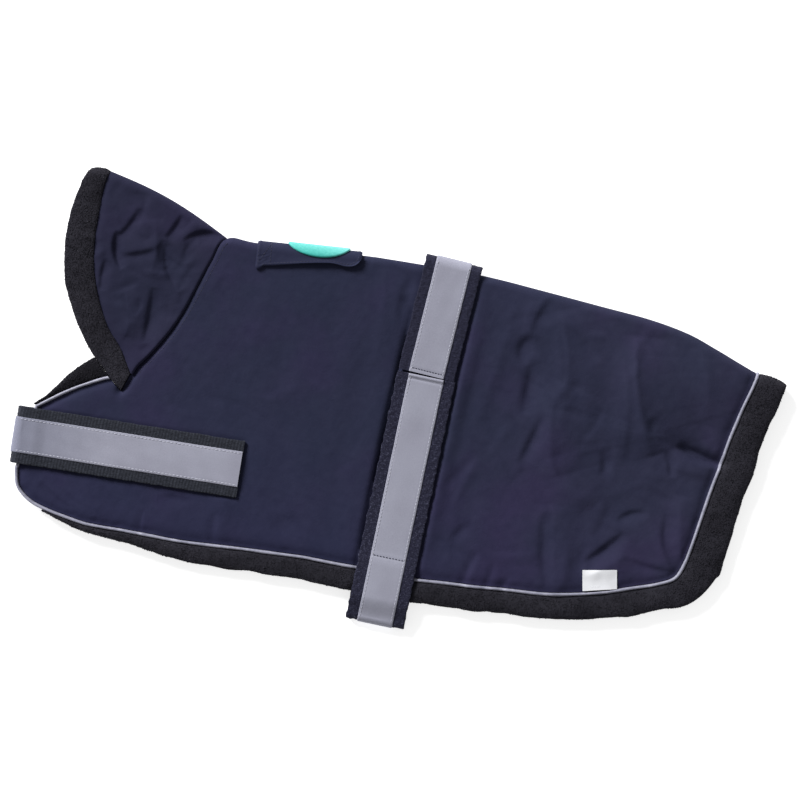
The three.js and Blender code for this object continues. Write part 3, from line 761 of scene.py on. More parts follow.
def body_ends():
    """The upper and lower ends of the body's lines."""
    hem = PIPING_EDGE[STOP_PART == "hem"][::-1]
    neck = PIPING_EDGE[STOP_PART == "neck"]
    top = spline(TOPS, STATIONS)
    past_neck = np.arange(len(top))[:, None] >= len(neck)
    fade = np.where(past_neck, np.clip(1 - (STATIONS - NECK_END) / 0.6, 0, 1)[:, None], 0)
    top[:len(neck)] = neck
    top += fade * (neck[-1] - spline(TOPS, NECK_END))
    top[-1] = PIPING_EDGE[0]
    below_collar = (STATIONS >= NECK_END + 1) & (STATIONS <= THROAT)
    share = STATIONS[below_collar] - NECK_END - 1
    knots = (0, 0.85, 1)
    top[below_collar] = np.column_stack([np.interp(share, knots, places) for places in COLLAR_FOOT.T])
    for k in np.flatnonzero(STATIONS < NECK_END + 1):
        met = crossings(np.array([hem[k], top[k]]), COLLAR_END)
        if met:
            top[k] = hem[k] + unit(top[k] - hem[k]) * min(met)
    return top, hem


def seam_dip(points):
    """How the body's near face dips at its seams with the piping and with the collar."""
    edge = distance_to(points, STOP_AT[::3])
    from_seam = distance_to(points, np.vstack([RIM[0], COLLAR_SEAM]))
    upward = np.clip((points[..., 1] + THROAT_DEPTH) / 100, 0, 1) ** 0.6
    depth = mix(3.6, 0.7, upward)
    width = mix(3.0, 1.2, upward)
    pinch = bell(edge, 3, 2.5) * np.clip(uneven(points, "seam_pinches"), 0, None)
    return (-1.1 * bell(edge, 1.8, 3.2) - depth * bell(from_seam, 0, width, 1.5)
            + 0.35 * bell(edge, 11, 7) - pinch)


def collar_dip(points):
    """How the collar dips at its seam and at its band, and rises inside the seam, most of all low down."""
    to_seam = distance_to(points, COLLAR_SEAM)
    to_band = distance_to(points, spline(BAND, np.linspace(0, NAPE_AT - THROAT, 40)))
    low_down = np.clip(-points[..., 1] / THROAT_DEPTH, 0, 1)
    return (-1.3 * bell(to_seam, 0, 1.1) - 0.9 * bell(to_band, 0, 3)
            + (0.4 + 1.5 * low_down) * bell(to_seam, 0, 9))


def make_body(materials):
    top, hem = body_ends()
    length = np.linalg.norm(hem - top, axis=1)
    drop = np.where(np.arange(len(top)) < NAPE_INDEX, np.maximum(fold_y(top[:, 0]) - top[:, 1], 0), 0)
    down = unit(hem - top)[:, None]
    paths = [top[:, None] + down * fold_steps(rows, length)[..., None] for rows in BODY_ROWS]
    near_dip, far_dip = map(seam_dip, paths)
    halves = folded_halves(*paths, drop=drop, dips=[near_dip, np.maximum(-far_dip, 0) * 0.7])
    return add_wall("body_shell", halves, materials)


def make_collar(materials):
    """The collar, whose lines run from the fold down, from its seam to its band."""
    shares = np.linspace(0, 1, COLLAR_LINES) ** 1.25
    seam = spline(TOPS, COLLAR_STATIONS)
    band = spline(BAND, COLLAR_STATIONS - THROAT)
    gap = SEAM_GAP / np.linalg.norm(band - seam, axis=1)[:, None]
    lines = np.stack([mix(seam, band, mix(gap, 1 - gap / 2, share)) for share in shares])
    lines[..., 1] += NAPE_BULGE * np.sin(math.pi * shares)[:, None] * bell(run_along(lines), 0, 14)
    paths = [np.stack([refolded(line, rows) for line in lines]) for rows in COLLAR_ROWS]
    near_dip, far_dip = map(collar_dip, paths)
    halves = folded_halves(*paths, dips=[near_dip, np.maximum(-far_dip, 0) * 0.6])
    return add_wall("collar_shell", halves, materials)


# Bindings: fleece borders, collar band and piping

def edge_waves(path, name, half):
    return uneven(path, name, half) + uneven(path, name + "_fine", half)


def fleece_wall(name, paths, material, lumpy=True, **where):
    halves = folded_halves(*paths, proud=FLEECE["proud"], under=FLEECE["under"], lumpy=lumpy, **where)
    return add_wall(name, halves, [material]), halves


def border_paths(keep, name, fade):
    """Lines of fleece beyond the piping, with an uneven outer edge, for the near and the far half."""
    made = []
    for half in (0, 1):
        wave = edge_waves(STOP_AT, name, half)
        width = np.maximum(STOP_BORDER + wave * fade * np.minimum(STOP_BORDER / 6, 1), 0.4)
        made.append(np.stack([beside(STOP_AT, PIPING / 2 + SEAM_GAP + across * width)[keep]
                              for across in FLEECE["across"]]))
    return made


def even_count(keep):
    """Drops one of the kept stops if that is needed for an even number of steps."""
    numbers = np.flatnonzero(keep)
    return numbers if len(numbers) % 2 else numbers[:-1]


def make_hem_border(material):
    keep = even_count((STOP_PART == "tail") | ((STOP_PART == "hem") & (STOP_STATION >= HEM_BORDER_START)))
    return fleece_wall("hem_fleece", border_paths(keep, "hem_border", smoothstep(STOP_RUN, 2, 20)), material)


def make_neck_border(half, material):
    path = border_paths(even_count(STOP_PART == "neck"), "neck_border", 1.0)[("near", "far").index(half)]
    path = np.stack([stopped_at_collar(line) for line in path])
    return fleece_wall("neck_fleece_" + half, [path, path], material, lumpy=False, drop=REACH, halves=(half,))


def make_collar_band(material):
    inner = spline(BAND, COLLAR_STATIONS - THROAT)
    rim = spline(RIM, COLLAR_STATIONS - THROAT)
    width = np.linalg.norm(rim - inner, axis=1)[:, None]
    run = run_along(inner)
    fade = smoothstep(run, 2, 16) * smoothstep(run[-1] - run, 0, 8)
    made = []
    for half in (0, 1):
        wave = edge_waves(rim, "collar_band", half) * fade
        outer = rim + (rim - inner) / width * wave[:, None]
        made.append(np.stack([refolded(mix(inner, outer, mix(SEAM_GAP / 2 / width, 1, across)), BAND_ROWS)
                              for across in FLEECE["across"]]))
    return fleece_wall("collar_fleece", made, material)


def make_piping(material):
    across = np.linspace(-1, 1, 9)
    stops = even_count(np.ones(len(STOP_AT), dtype=bool))
    before_neck = STOP_PART[stops] != "neck"
    made = []
    for half in (0, 1):
        width = 0.9 + uneven(STOP_AT, "piping_width", half) + 0.03 * np.sin(STOP_RUN * 2.1)
        lines = [beside(STOP_AT, share * PIPING / 2 * width)[stops] for share in across]
        made.append(np.stack([np.vstack([line[before_neck], stopped_at_collar(line[~before_neck])])
                              for line in lines]))
    proud = PIPING / 2 * np.sqrt(np.maximum(1 - across ** 2, 0)) - 0.35
    return add_wall("piping_cord", folded_halves(*made, proud=proud), [material])


def seam_ribbon(name, lines, material):
    """Seam allowance that lies between the halves and closes a seam from inside."""
    grid = np.stack(lines)
    middle = WALL + LINING_GAP / 2
    half = 0.06
    outer = np.dstack([grid, np.full(grid.shape[:2], middle + half)])
    inner = np.dstack([grid, np.full(grid.shape[:2], middle - half)])[::2, ::2]
    return add_strip(name, outer, inner, material, sharp=50)


def make_seam_allowances(material):
    inside = np.flatnonzero(STOP_RUN > REACH + 3)
    inside = inside if len(inside) % 2 else inside[1:]
    beyond = PIPING / 2 - 0.3 + np.clip(STOP_BORDER - 2, 0, 3.5)
    lines = [beside(STOP_AT, mix(-4.5, beyond, share))[inside] for share in (0, 0.5, 1)]
    seam_ribbon("piping_allowance", lines, material)
    rim_end = COLLAR_END[-6:-3]
    seam = np.vstack([rim_end, COLLAR_FOOT, spline(TOPS, np.linspace(THROAT + 0.1, NAPE_AT - 0.55, 41))])
    edge = evenly(seam, 61)
    lines = [beside(edge, np.full(len(edge), aside)) for aside in (-3, 0, 3)]
    seam_ribbon("collar_allowance", lines, material)


# Straps, flap and patch: strips that go round the coat

def highest_under(line, width, s):
    """Greatest height of the near half under a strap around distances from its outermost point."""
    start, ahead, left = axes(line)
    best = np.zeros(np.shape(s))
    for across in (-0.5, -0.3, -0.1, 0.1, 0.3, 0.5):
        for along in (-9, -3, 3, 9):
            at = start + (np.asarray(s)[..., None] + along) * ahead + left * across * width
            best = np.maximum(best, form_height(at))
    return best


def over_binding(s, end):
    return 0.9 * (1 - smoothstep(s, end, end + 10))


def chest_cover(s):
    return highest_under(CHEST_STRAP, WEBBING_WIDTH, s) + LIFT + over_binding(s, 14)


def girth_upper_cover(s):
    return highest_under(GIRTH_UPPER, WEBBING_WIDTH, s) + LIFT


def girth_lower_cover(s):
    over = np.maximum(s, HEM_OVERHANG)
    lying = highest_under(GIRTH_LOWER, WEBBING_WIDTH, over) + LIFT + over_binding(over, 42)
    return mix(TURNED_UNDER, lying, smoothstep(s, 4, HEM_OVERHANG - 1))


def path_rows(s, z, aside, up):
    return np.column_stack(np.broadcast_arrays(s, z, aside, up))


def wrap_path(near, far, cover, off, low, turn, steps):
    """The inner face of what goes round the coat, in the plane of its length and height.

    It runs from the near end over the coat, round the turn and back under it. Each row has its distance from
    the outermost point, its height, and the two parts of the way outward.
    """
    radius = (cover(np.array(0.0)) - low) / 2
    for _ in range(5):
        radius = (cover(off + radius) - low) / 2
    middle_s = off + radius
    over = np.linspace(near, middle_s, steps[0] + 1)[:-1]
    angle = np.radians(90 + np.linspace(0, turn, steps[1] + 1))
    aside, up = np.cos(angle), np.sin(angle)
    rows = [path_rows(over, cover(over), 0.0, 1.0),
            path_rows(middle_s + radius * aside, low + radius + radius * up, aside, up)]
    if far > 0:
        rows.append(path_rows(np.linspace(middle_s, far, steps[2] + 1)[1:], low, 0.0, -1.0))
    return np.vstack(rows)


def strip_grid(line, path, across, out):
    """A grid of places on such a path: at distances across it and outward from its inner face."""
    s = path[:, 0, None] + path[:, 2, None] * out
    return placed(line, s, across, np.maximum(path[:, 1, None] + path[:, 3, None] * out, 0))


def rounded_section(width, thick, fineness, corner=0.7):
    """Places across a strip and how far its outer face lies outward, rounded at its edges."""
    turn = np.linspace(0, math.pi / 2, 4)[::-1]
    edge = width / 2 - corner + corner * np.sin(turn)
    fall = thick - corner + corner * np.cos(turn)
    flat = np.linspace(-1, 1, fineness) * (width / 2 - corner)
    across = np.concatenate([-edge, flat[1:-1], edge[::-1]])
    return across, np.concatenate([fall, np.full(fineness - 2, thick), fall[::-1]])


def make_strip(name, line, path, width, thick, material, fineness, texture, ragged, seed):
    """Webbing or tape round the coat, as a closed strip with rounded edges that are ragged by a distance."""
    across, out = rounded_section(width, thick, fineness)
    out = out + texture(path, across)
    edge = np.sign(across) * smoothstep(np.abs(across), width / 2 - 1.2, width / 2)
    places = np.dstack(np.meshgrid(np.sign(across) * 40, run_along(path[:, :2])))
    across = across + ragged * edge * ripples(places, seed, 3, 12)
    outer = strip_grid(line, path, across, out)
    inner_across = across[::2, ::2] * (1 - 0.3 / width)
    inner = strip_grid(line, path[::2], inner_across, np.zeros_like(inner_across))
    return add_strip(name, outer, inner, material)


# A strap's grain, ribs, raggedness and folded tape end are in millimetres. Its tape ends a little before it,
# and rows of stitches cross it at distances from its outermost point.
STRAPS = [
    {"name": "chest_strap", "line": CHEST_STRAP, "cover": chest_cover, "seed": 71, "end": 0.4, "width": 40.0,
     "grain": 0.2, "ragged": 0.22, "rib": 0.05, "fold": 0.0, "cross": []},
    {"name": "girth_strap_upper", "line": GIRTH_UPPER, "cover": girth_upper_cover, "seed": 72, "end": 0.1,
     "width": 40.0, "grain": 0.2, "ragged": 0.4, "rib": 0.0, "fold": 0.0, "cross": [80.6]},
    {"name": "girth_strap_lower", "line": GIRTH_LOWER, "cover": girth_lower_cover, "seed": 73, "end": 0.1,
     "width": 41.2, "grain": 0.28, "ragged": 0.45, "rib": 0.0, "fold": 0.9, "cross": [48.0]},
]
RIB_PITCH = 2.2
EDGE_STITCHES = TAPE_WIDTH / 2 - 1.5


def webbing_relief(strap, rows, across):
    """Grain of the webbing, with ribs where the tape leaves it bare."""
    places = np.dstack(np.meshgrid(across, rows[:, 0]))
    grain = strap["grain"] * ripples(places, strap["seed"], 1.9, 5)
    ribs = np.sin(places[..., 1] * 2 * math.pi / RIB_PITCH) * (np.abs(across) > TAPE_WIDTH / 2)
    return (grain + strap["rib"] * ribs) * (np.abs(across) < strap["width"] / 2 - 0.3) - 0.05


def tape_relief(strap, rows, across):
    """Waves of the tape, with dips at its stitches and a ridge where its end is folded under."""
    places = np.dstack(np.meshgrid(across, rows[:, 0]))
    s = places[..., 1]
    end = strap["line"]["near"] - strap["end"]
    relief = 0.12 * ripples(places, strap["seed"] + 5, 9, 40)
    for row in strap["cross"]:
        relief -= 0.22 * bell(s, row, 0.8)
    relief += strap["fold"] * (bell(s, end - 1.2, 0.9) - 0.5 * bell(s, end - 3.3, 0.6))
    relief -= 0.1 * bell(np.abs(across), EDGE_STITCHES, 0.6)
    on_top = rows[:, 3, None] > 0.999
    return relief * on_top


def make_strap(strap, webbing, tape):
    line, cover, seed = strap["line"], strap["cover"], strap["seed"]
    near, far = line["near"], line["far"]
    path = wrap_path(near, far, cover, TAPE + WEBBING + SEAM_GAP, STRAP_LOW, 180,
                     (2 * round(near / 2), 24, 2 * round(far / 7)))
    belt = make_strip(strap["name"] + "_webbing", line, path, strap["width"], WEBBING, webbing, 45,
                      lambda rows, across: webbing_relief(strap, rows, across), strap["ragged"], seed)
    path = wrap_path(near - strap["end"], 0, lambda s: cover(s) + TAPE_RISE, TAPE, WEBBING - TAPE_RISE,
                     TAPE_TURN, (2 * round(near / 1.6), 24, 0))
    ribbon = make_strip(strap["name"] + "_ribbon", line, path, TAPE_WIDTH, TAPE, tape, 29,
                        lambda rows, across: tape_relief(strap, rows, across), 0.08, seed + 3)
    return belt, ribbon


def strap_stitches(strap, part):
    """Rows of thread in the tape: down both its edges, or across it."""
    if part == "edges":
        s = np.linspace(4, strap["line"]["near"] - strap["end"] - 1.2, 160)
        rows = [(s, np.full_like(s, aside)) for aside in (-EDGE_STITCHES, EDGE_STITCHES)]
    else:
        across = np.linspace(-EDGE_STITCHES, EDGE_STITCHES, 20)
        rows = [(np.full_like(across, at), across) for at in strap["cross"]]
    height = TAPE_RISE + TAPE - 0.06
    return [placed(strap["line"], s, across, strap["cover"](s) + height) for s, across in rows]


FLAP_TOP = float(np.max(highest_under(FLAP_LINE, 90, np.array(0.0)))) + LIFT


def make_flap(material):
    """The flap, with a raised edge, a free end that curls up and puckers at the end that is sewn down."""
    along = np.linspace(-FLAP_HALF, FLAP_HALF, 97)
    edge = spline(pair(FLAP_EDGE, "along", "down"), np.linspace(0, len(FLAP_EDGE["along"]) - 1, 300))
    down = np.interp(along, edge[:, 0], edge[:, 1])
    steps = (18, 18, 12)
    grid = np.stack([wrap_path(end, end, lambda s: np.full(np.shape(s), FLAP_TOP), FLAP_THICKNESS,
                               FLAP_THICKNESS, 180, steps) for end in down])
    rows = np.arange(grid.shape[1])[None, :]
    along = along[:, None]
    near_share = np.clip(1 - rows / steps[0], 0, 1)
    curl = near_share ** 2 * np.interp(along, FLAP_EDGE["along"], FLAP_EDGE["curl"])
    from_edge = np.minimum(rows * 0.8, FLAP_HALF - np.abs(along))
    box = np.maximum(np.abs(along + 31.5) - 3.5, np.abs(down[:, None] * near_share - 9) - 5)
    puckers = uneven(np.dstack(np.broadcast_arrays(along, 1.3 * rows)), "flap_puckers")
    thick = (FLAP_THICKNESS - 0.5 * bell(np.maximum(from_edge, 0), 0, 0.8) + 0.25 * bell(from_edge, 1.8, 0.8)
             + puckers * (1 - smoothstep(box, -1, 2)))

    def surface(out):
        s, z = (grid[..., k] + grid[..., k + 2] * out for k in (0, 1))
        return placed(FLAP_LINE, s, along, z + curl)

    inner = surface(np.zeros_like(thick))[::2, ::2]
    return add_strip("flap_cloth", surface(thick), inner, material)


def flap_point(along, down):
    """Places on the flap's outer face, at distances along its axis and down from it."""
    radius = (FLAP_TOP - FLAP_THICKNESS) / 2
    middle = FLAP_THICKNESS + radius
    outer = radius + FLAP_THICKNESS
    edge = np.interp(along, FLAP_EDGE["along"], FLAP_EDGE["down"])
    rise = np.interp(along, FLAP_EDGE["along"], FLAP_EDGE["curl"])
    share = np.clip((down - middle) / np.maximum(edge - middle, 1), 0, 1)
    bend = np.clip((middle - down) / outer, 0, 1)
    return placed(FLAP_LINE, down, along, middle + outer * np.sqrt(1 - bend ** 2) + rise * share ** 2)


def make_patch(material):
    """A rounded patch, bent over the fold on the flap and thinner towards its edge."""
    inside = FLAP_THICKNESS + SEAM_GAP
    low = FLAP_THICKNESS - inside
    radius = (FLAP_TOP + inside - low) / 2
    middle_s = low + radius
    quarter = radius * math.pi / 2
    t = np.sin(np.linspace(-1, 1, 41) * math.pi / 2) * PATCH["end"]
    along = (PATCH["at"] + PATCH["half_length"] * t)[:, None]
    down = PATCH["half_width"] * np.sqrt(1 - t * t) - PATCH["centre"]
    first = np.where(down > middle_s, quarter + down - middle_s,
                     radius * np.arccos(np.clip((middle_s - down) / radius, -1, 1)))[:, None]
    rows = np.linspace(0, 1, 25)[None, :]
    wrap = first * (1 - 1.5 * rows)
    angle = np.pi - np.clip(wrap / radius, None, np.pi / 2)
    straight = np.maximum(wrap - quarter, 0)
    from_side = np.minimum(rows, 1 - rows) * first * 1.5
    from_end = (1 - np.abs(t) / PATCH["end"])[:, None] * 20 + 0.05
    rounding = np.sqrt(1 - (1 - np.clip(np.minimum(from_side, from_end) / 1.1, 0, 1)) ** 2)
    thick = mix(PATCH_EDGE, PATCH_THICKNESS, rounding)

    def surface(out):
        s = middle_s + (radius + out) * np.cos(angle) + straight
        return placed(FLAP_LINE, s, along, low + radius + (radius + out) * np.sin(angle))

    inner = surface(np.zeros_like(thick))[::2, ::2]
    return add_strip("patch_round", surface(thick), inner, material)


def make_tab(material):
    """A tab that reaches down to the piping and stands up a little at its upper edge."""
    x = np.linspace(-0.5, 0.5, 25) * TAB["width"]
    rows = np.linspace(0, 1, 15)
    foot = -TAB["height"] / 2 - mix(TAB["foot_left"], TAB["foot_right"], x / TAB["width"] + 0.5)
    up = mix(foot[:, None], TAB["height"] / 2, rows)
    across = x[:, None]
    base = near_height(placed(TAB, across, up, 0.0)[..., :2]) + TAB["thick"]
    base = np.maximum(base, float(base.mean()) - 0.3)
    base = base + 0.5 * smoothstep(up, -2, TAB["height"] / 2) + 0.15 * np.sin(across / 4.2)
    outer = placed(TAB, across, up, base + TAB["thick"])
    return add_strip("tab_label", outer, placed(TAB, across, up, base)[::2, ::2], material)


# Stitches and fleece pile, in great number

def flap_stitches():
    return [flap_point(*evenly(np.array(corners), 120).T) for corners in (FLAP_BOX, FLAP_ROW)]


def collar_seam_stitches():
    """A row of thread on the body, beside the collar's seam."""
    line = beside(spline(TOPS, np.linspace(THROAT + 0.4, NAPE_AT - 0.1, 60)), np.full(60, -3.4))
    return [np.column_stack([line, near_height(line) + seam_dip(line) + 0.02])]


def tab_stitches():
    x = np.linspace(-0.45, 0.45, 30) * TAB["width"]
    row = placed(TAB, x, 1.4 - TAB["height"] / 2, 0.0)
    row[:, 2] = near_height(row[:, :2]) + 0.75
    return [row]


def stitch_row(line, pitch):
    """Places and headings of stitches at an even pitch along a line in space."""
    length = run_along(line)[-1]
    count = max(int(length / pitch), 1)
    at = (np.arange(count) + 0.5) * length / count
    return resampled(line, at), resampled(line, at + 0.4) - resampled(line, at - 0.4)


THREAD_SIDES = 6
# Rings of a stitch: share of its length from its middle, and share of its radius
THREAD_RINGS = [(-0.5, 0.35), (-0.38, 0.85), (0, 1.0), (0.38, 0.85), (0.5, 0.35)]


def sewn(name, rows, material, pitch, radius):
    """Stitches along lines in space, each a rounded rod, as one joined mesh."""
    found = [stitch_row(row, pitch) for row in rows]
    places = np.vstack([at for at, _ in found])
    headings = unit(np.vstack([heading for _, heading in found]))
    sides = unit(np.cross([0.0, 0.0, 1.0], headings))
    ups = np.cross(headings, sides)
    turn = 2 * math.pi * np.arange(THREAD_SIDES) / THREAD_SIDES
    shape = np.array([(along * pitch * 0.74, share * radius * math.cos(a), share * radius * math.sin(a))
                      for along, share in THREAD_RINGS for a in turn])
    points = places[:, None] + sum(shape[None, :, k:k + 1] * way[:, None]
                                   for k, way in enumerate((headings, sides, ups)))
    numbers = np.arange(len(shape)).reshape(-1, THREAD_SIDES)
    one = [tuple(quad) for quad in grid_faces(np.hstack([numbers, numbers[:, :1]])).tolist()]
    one += [tuple(numbers[0][::-1].tolist()), tuple(numbers[-1].tolist())]
    faces = [tuple(n * len(shape) + corner for corner in face) for n in range(len(places)) for face in one]
    return add_piece(name, points.reshape(-1, 3), faces, [material], sharp=180)


def faces_outward(outer):
    """Whether a grid's own order of lines and rows faces away from the wall."""
    line, row = outer.shape[0] // 2, outer.shape[1] // 2
    here = outer[line, row]
    normal = np.cross(outer[line, row + 1] - here, outer[line + 1, row] - here)
    near = here[2] > REACH
    return (normal[2] > 0) != near


TUFT = {"length": 0.9, "width": 0.8, "spread": 0.75, "sunk": 0.12}


def tufts(name, halves, material, count, seed):
    """Fleece pile: short three-sided tufts all over the outer faces of folded halves, as one joined mesh."""
    rng = np.random.default_rng(seed)
    grids = [outer if faces_outward(outer) else outer[::-1] for outer, _ in halves]
    thirds = [np.stack([grid[:-1, :-1], grid[:-1, 1:], grid[1:, :-1]], axis=2) for grid in grids]
    corners = np.concatenate([third.reshape(-1, 3, 3) for third in thirds])
    u = corners[:, 1] - corners[:, 0]
    v = corners[:, 2] - corners[:, 0]
    normal = np.cross(u, v)
    area = np.linalg.norm(normal, axis=1)
    pick = rng.choice(len(corners), count, p=area / area.sum())
    a, b = rng.random((2, count, 1))
    base = corners[pick, 0] + a * u[pick] + b * v[pick]
    normal = normal[pick] / area[pick][:, None]
    tip = unit(normal + rng.normal(size=(count, 3)) * TUFT["spread"])
    keep = base[:, 2] + normal[:, 2] > 0.3
    side = unit(np.cross(tip, rng.normal(size=tip.shape)))
    other = np.cross(tip, side)
    size = rng.uniform(0.7, 1.3, (count, 1)) * TUFT["width"] / 2
    reach = rng.uniform(0.6, 1.3, (count, 1)) * TUFT["length"]
    base = base - normal * TUFT["sunk"]
    feet = [base + size * (math.cos(turn) * side + math.sin(turn) * other) for turn in (0, 2.1, 4.2)]
    points = np.stack([*feet, base + tip * reach], axis=1)[keep]
    points[..., 2] = np.maximum(points[..., 2], 0.02)
    first = 4 * np.arange(len(points))[:, None]
    faces = np.concatenate([first + np.array(face) for face in ((0, 1, 3), (1, 2, 3), (2, 0, 3), (0, 2, 1))])
    return add_piece(name, points.reshape(-1, 3), faces.tolist(), [material], sharp=180)


# Materials

def rgb(red, green, blue):
    """A colour given as it looks on a screen, from 0 to 255, as the shader wants it."""
    linear = [((c / 255 + 0.055) / 1.055) ** 2.4 if c > 10 else c / 255 / 12.92 for c in (red, green, blue)]
    return (*linear, 1)


WHITE = rgb(255, 255, 255)


def set_inputs(node, values):
    for name, value in values.items():
        node.inputs[name].default_value = value
    return node


class Surface:
    """A material that is built up from seeded noise."""

    def __init__(self, name, roughness, specular, sheen=0.0, sheen_roughness=0.5, sheen_tint=WHITE):
        self.material = bpy.data.materials.new(name)
        self.material.use_nodes = True
        self.nodes = self.material.node_tree.nodes
        self.links = self.material.node_tree.links
        self.shader = set_inputs(self.nodes["Principled BSDF"], {
            "Roughness": roughness, "Specular IOR Level": specular, "Sheen Weight": sheen,
            "Sheen Roughness": sheen_roughness, "Sheen Tint": sheen_tint})
        self.place = self.nodes.new("ShaderNodeTexCoord").outputs["Object"]
        self.height = None

    def node(self, kind, values, **joined):
        """A new node with its values set and other nodes' outputs joined to its inputs."""
        node = set_inputs(self.nodes.new(kind), values)
        for name, output in joined.items():
            self.links.new(output, node.inputs[name])
        return node

    def stretched(self, scale, angle=0.0):
        values = {"Scale": scale, "Rotation": (0, 0, math.radians(angle))}
        return self.node("ShaderNodeMapping", values, Vector=self.place).outputs["Vector"]

    def noise(self, size, detail=3.0, roughness=0.55, distortion=0.0, scale=(1, 1, 1)):
        """Noise whose features measure about size millimetres."""
        values = {"Scale": 1 / (size * MM), "Detail": detail, "Roughness": roughness,
                  "Distortion": distortion}
        return self.node("ShaderNodeTexNoise", values, Vector=self.stretched(scale)).outputs["Fac"]

    def along(self, axis, low, high):
        """Where a place lies between two places on an axis of the part, from 0 to 1."""
        parts = self.node("ShaderNodeSeparateXYZ", {}, Vector=self.place)
        return self.node("ShaderNodeMapRange", {"From Min": low, "From Max": high},
                         Value=parts.outputs[axis]).outputs["Result"]

    def bands(self, pitch, angle):
        values = {"Scale": 2 * math.pi / 20 / (pitch * MM), "Distortion": 1.2, "Detail": 1.0}
        return self.node("ShaderNodeTexWave", values, Vector=self.stretched((1, 1, 1), angle)).outputs["Fac"]

    def ramp(self, value, stops):
        node = self.node("ShaderNodeValToRGB", {}, Fac=value)
        ramp = node.color_ramp
        while len(ramp.elements) < len(stops):
            ramp.elements.new(0.5)
        for element, (at, colour) in zip(ramp.elements, stops):
            element.position = at
            element.color = colour
        return node.outputs["Color"]

    def blend(self, first, second, factor=None):
        """Two colours mixed by a factor, or multiplied with each other where there is none."""
        node = self.nodes.new("ShaderNodeMix")
        node.data_type = "RGBA"
        node.inputs["Factor"].default_value = 1.0
        if factor is None:
            node.blend_type = "MULTIPLY"
        else:
            self.links.new(factor, node.inputs["Factor"])
        self.links.new(first, node.inputs["A"])
        self.links.new(second, node.inputs["B"])
        return node.outputs["Result"]

    def colour(self, value):
        self.links.new(value, self.shader.inputs["Base Color"])

    def rough(self, value, low, high):
        node = self.node("ShaderNodeMapRange", {"To Min": low, "To Max": high}, Value=value)
        self.links.new(node.outputs["Result"], self.shader.inputs["Roughness"])

    def bump(self, value, depth, strength=1.0):
        """Adds relief of a depth in millimetres."""
        node = self.node("ShaderNodeBump", {"Strength": strength, "Distance": depth * MM}, Height=value)
        if self.height is not None:
            self.links.new(self.height, node.inputs["Normal"])
        self.height = node.outputs["Normal"]
        self.links.new(self.height, self.shader.inputs["Normal"])


def shell_material(name, middle, light, dark):
    cloth = Surface(name, roughness=0.7, specular=0.04, sheen=0.03, sheen_roughness=0.4,
                    sheen_tint=rgb(150, 155, 200))
    fine = cloth.noise(6, 4)
    base = cloth.ramp(cloth.noise(70, 3), [(0.3, dark), (0.52, middle), (0.72, light)])
    spots = cloth.ramp(fine, [(0.25, rgb(235, 235, 240)), (0.75, WHITE)])
    # painted light: the shell is made lighter towards the tail
    painted_light_toward_tail = cloth.ramp(cloth.along("X", -0.25, 0.22),
                             [(0, rgb(236, 240, 239)), (0.53, rgb(240, 243, 242)), (1, rgb(255, 252, 247))])
    toward_hem = cloth.ramp(cloth.along("Y", 0.0, -0.11), [(0, rgb(248, 250, 246)), (1, rgb(253, 246, 255))])
    cloth.colour(cloth.blend(cloth.blend(base, spots), cloth.blend(painted_light_toward_tail, toward_hem)))
    cloth.rough(fine, 0.64, 0.76)
    cloth.bump(cloth.noise(9, 5, 0.6, 0.6), 0.5, 0.5)
    cloth.bump(cloth.noise(2.2, 4, 0.6), 0.12, 0.6)
    cloth.bump(cloth.bands(0.7, 0), 0.03, 0.5)
    cloth.bump(cloth.bands(0.7, 90), 0.03, 0.5)
    return cloth.material


def fleece_material(name, dark, light):
    fleece = Surface(name, roughness=0.95, specular=0.08, sheen=0.12, sheen_roughness=0.6,
                     sheen_tint=rgb(150, 148, 165))
    base = fleece.ramp(fleece.noise(22, 3), [(0.35, dark), (0.7, light)])
    specks = fleece.ramp(fleece.noise(1.0, 2, 0.5),
                         [(0.3, rgb(228, 228, 228)), (0.62, rgb(240, 240, 240)), (0.76, WHITE)])
    fleece.colour(fleece.blend(base, specks))
    fleece.bump(fleece.noise(2.6, 4, 0.65), 0.5, 0.7)
    fleece.bump(fleece.noise(0.7, 3, 0.7), 0.3, 0.8)
    return fleece.material


def piping_material():
    cord = Surface("grey_piping", roughness=0.45, specular=0.5)
    stops = [(0.3, rgb(132, 133, 150)), (0.6, rgb(158, 158, 175)), (0.8, rgb(190, 190, 202))]
    cord.colour(cord.ramp(cord.noise(5, 4, 0.6), stops))
    cord.bump(cord.noise(1.2, 3, 0.6), 0.15, 0.6)
    return cord.material


def tape_material(name, turn_shade):
    """Grey tape, with painted shade towards its front end, where it goes round the chest."""
    tape = Surface(name, roughness=0.55, specular=0.12)
    fine = tape.noise(0.8, 3, 0.7)
    base = tape.ramp(tape.noise(30, 3), [(0.3, rgb(157, 157, 172)), (0.7, rgb(166, 167, 182))])
    specks = tape.ramp(fine, [(0.3, rgb(238, 238, 240)), (0.7, WHITE)])
    shade = tape.ramp(tape.along("X", -0.256, -0.19), [(0, turn_shade), (1, WHITE)])
    tape.colour(tape.blend(tape.blend(base, specks), shade))
    tape.rough(fine, 0.5, 0.62)
    tape.bump(tape.noise(7, 4, 0.6), 0.12, 0.5)
    tape.bump(fine, 0.02, 0.6)
    return tape.material


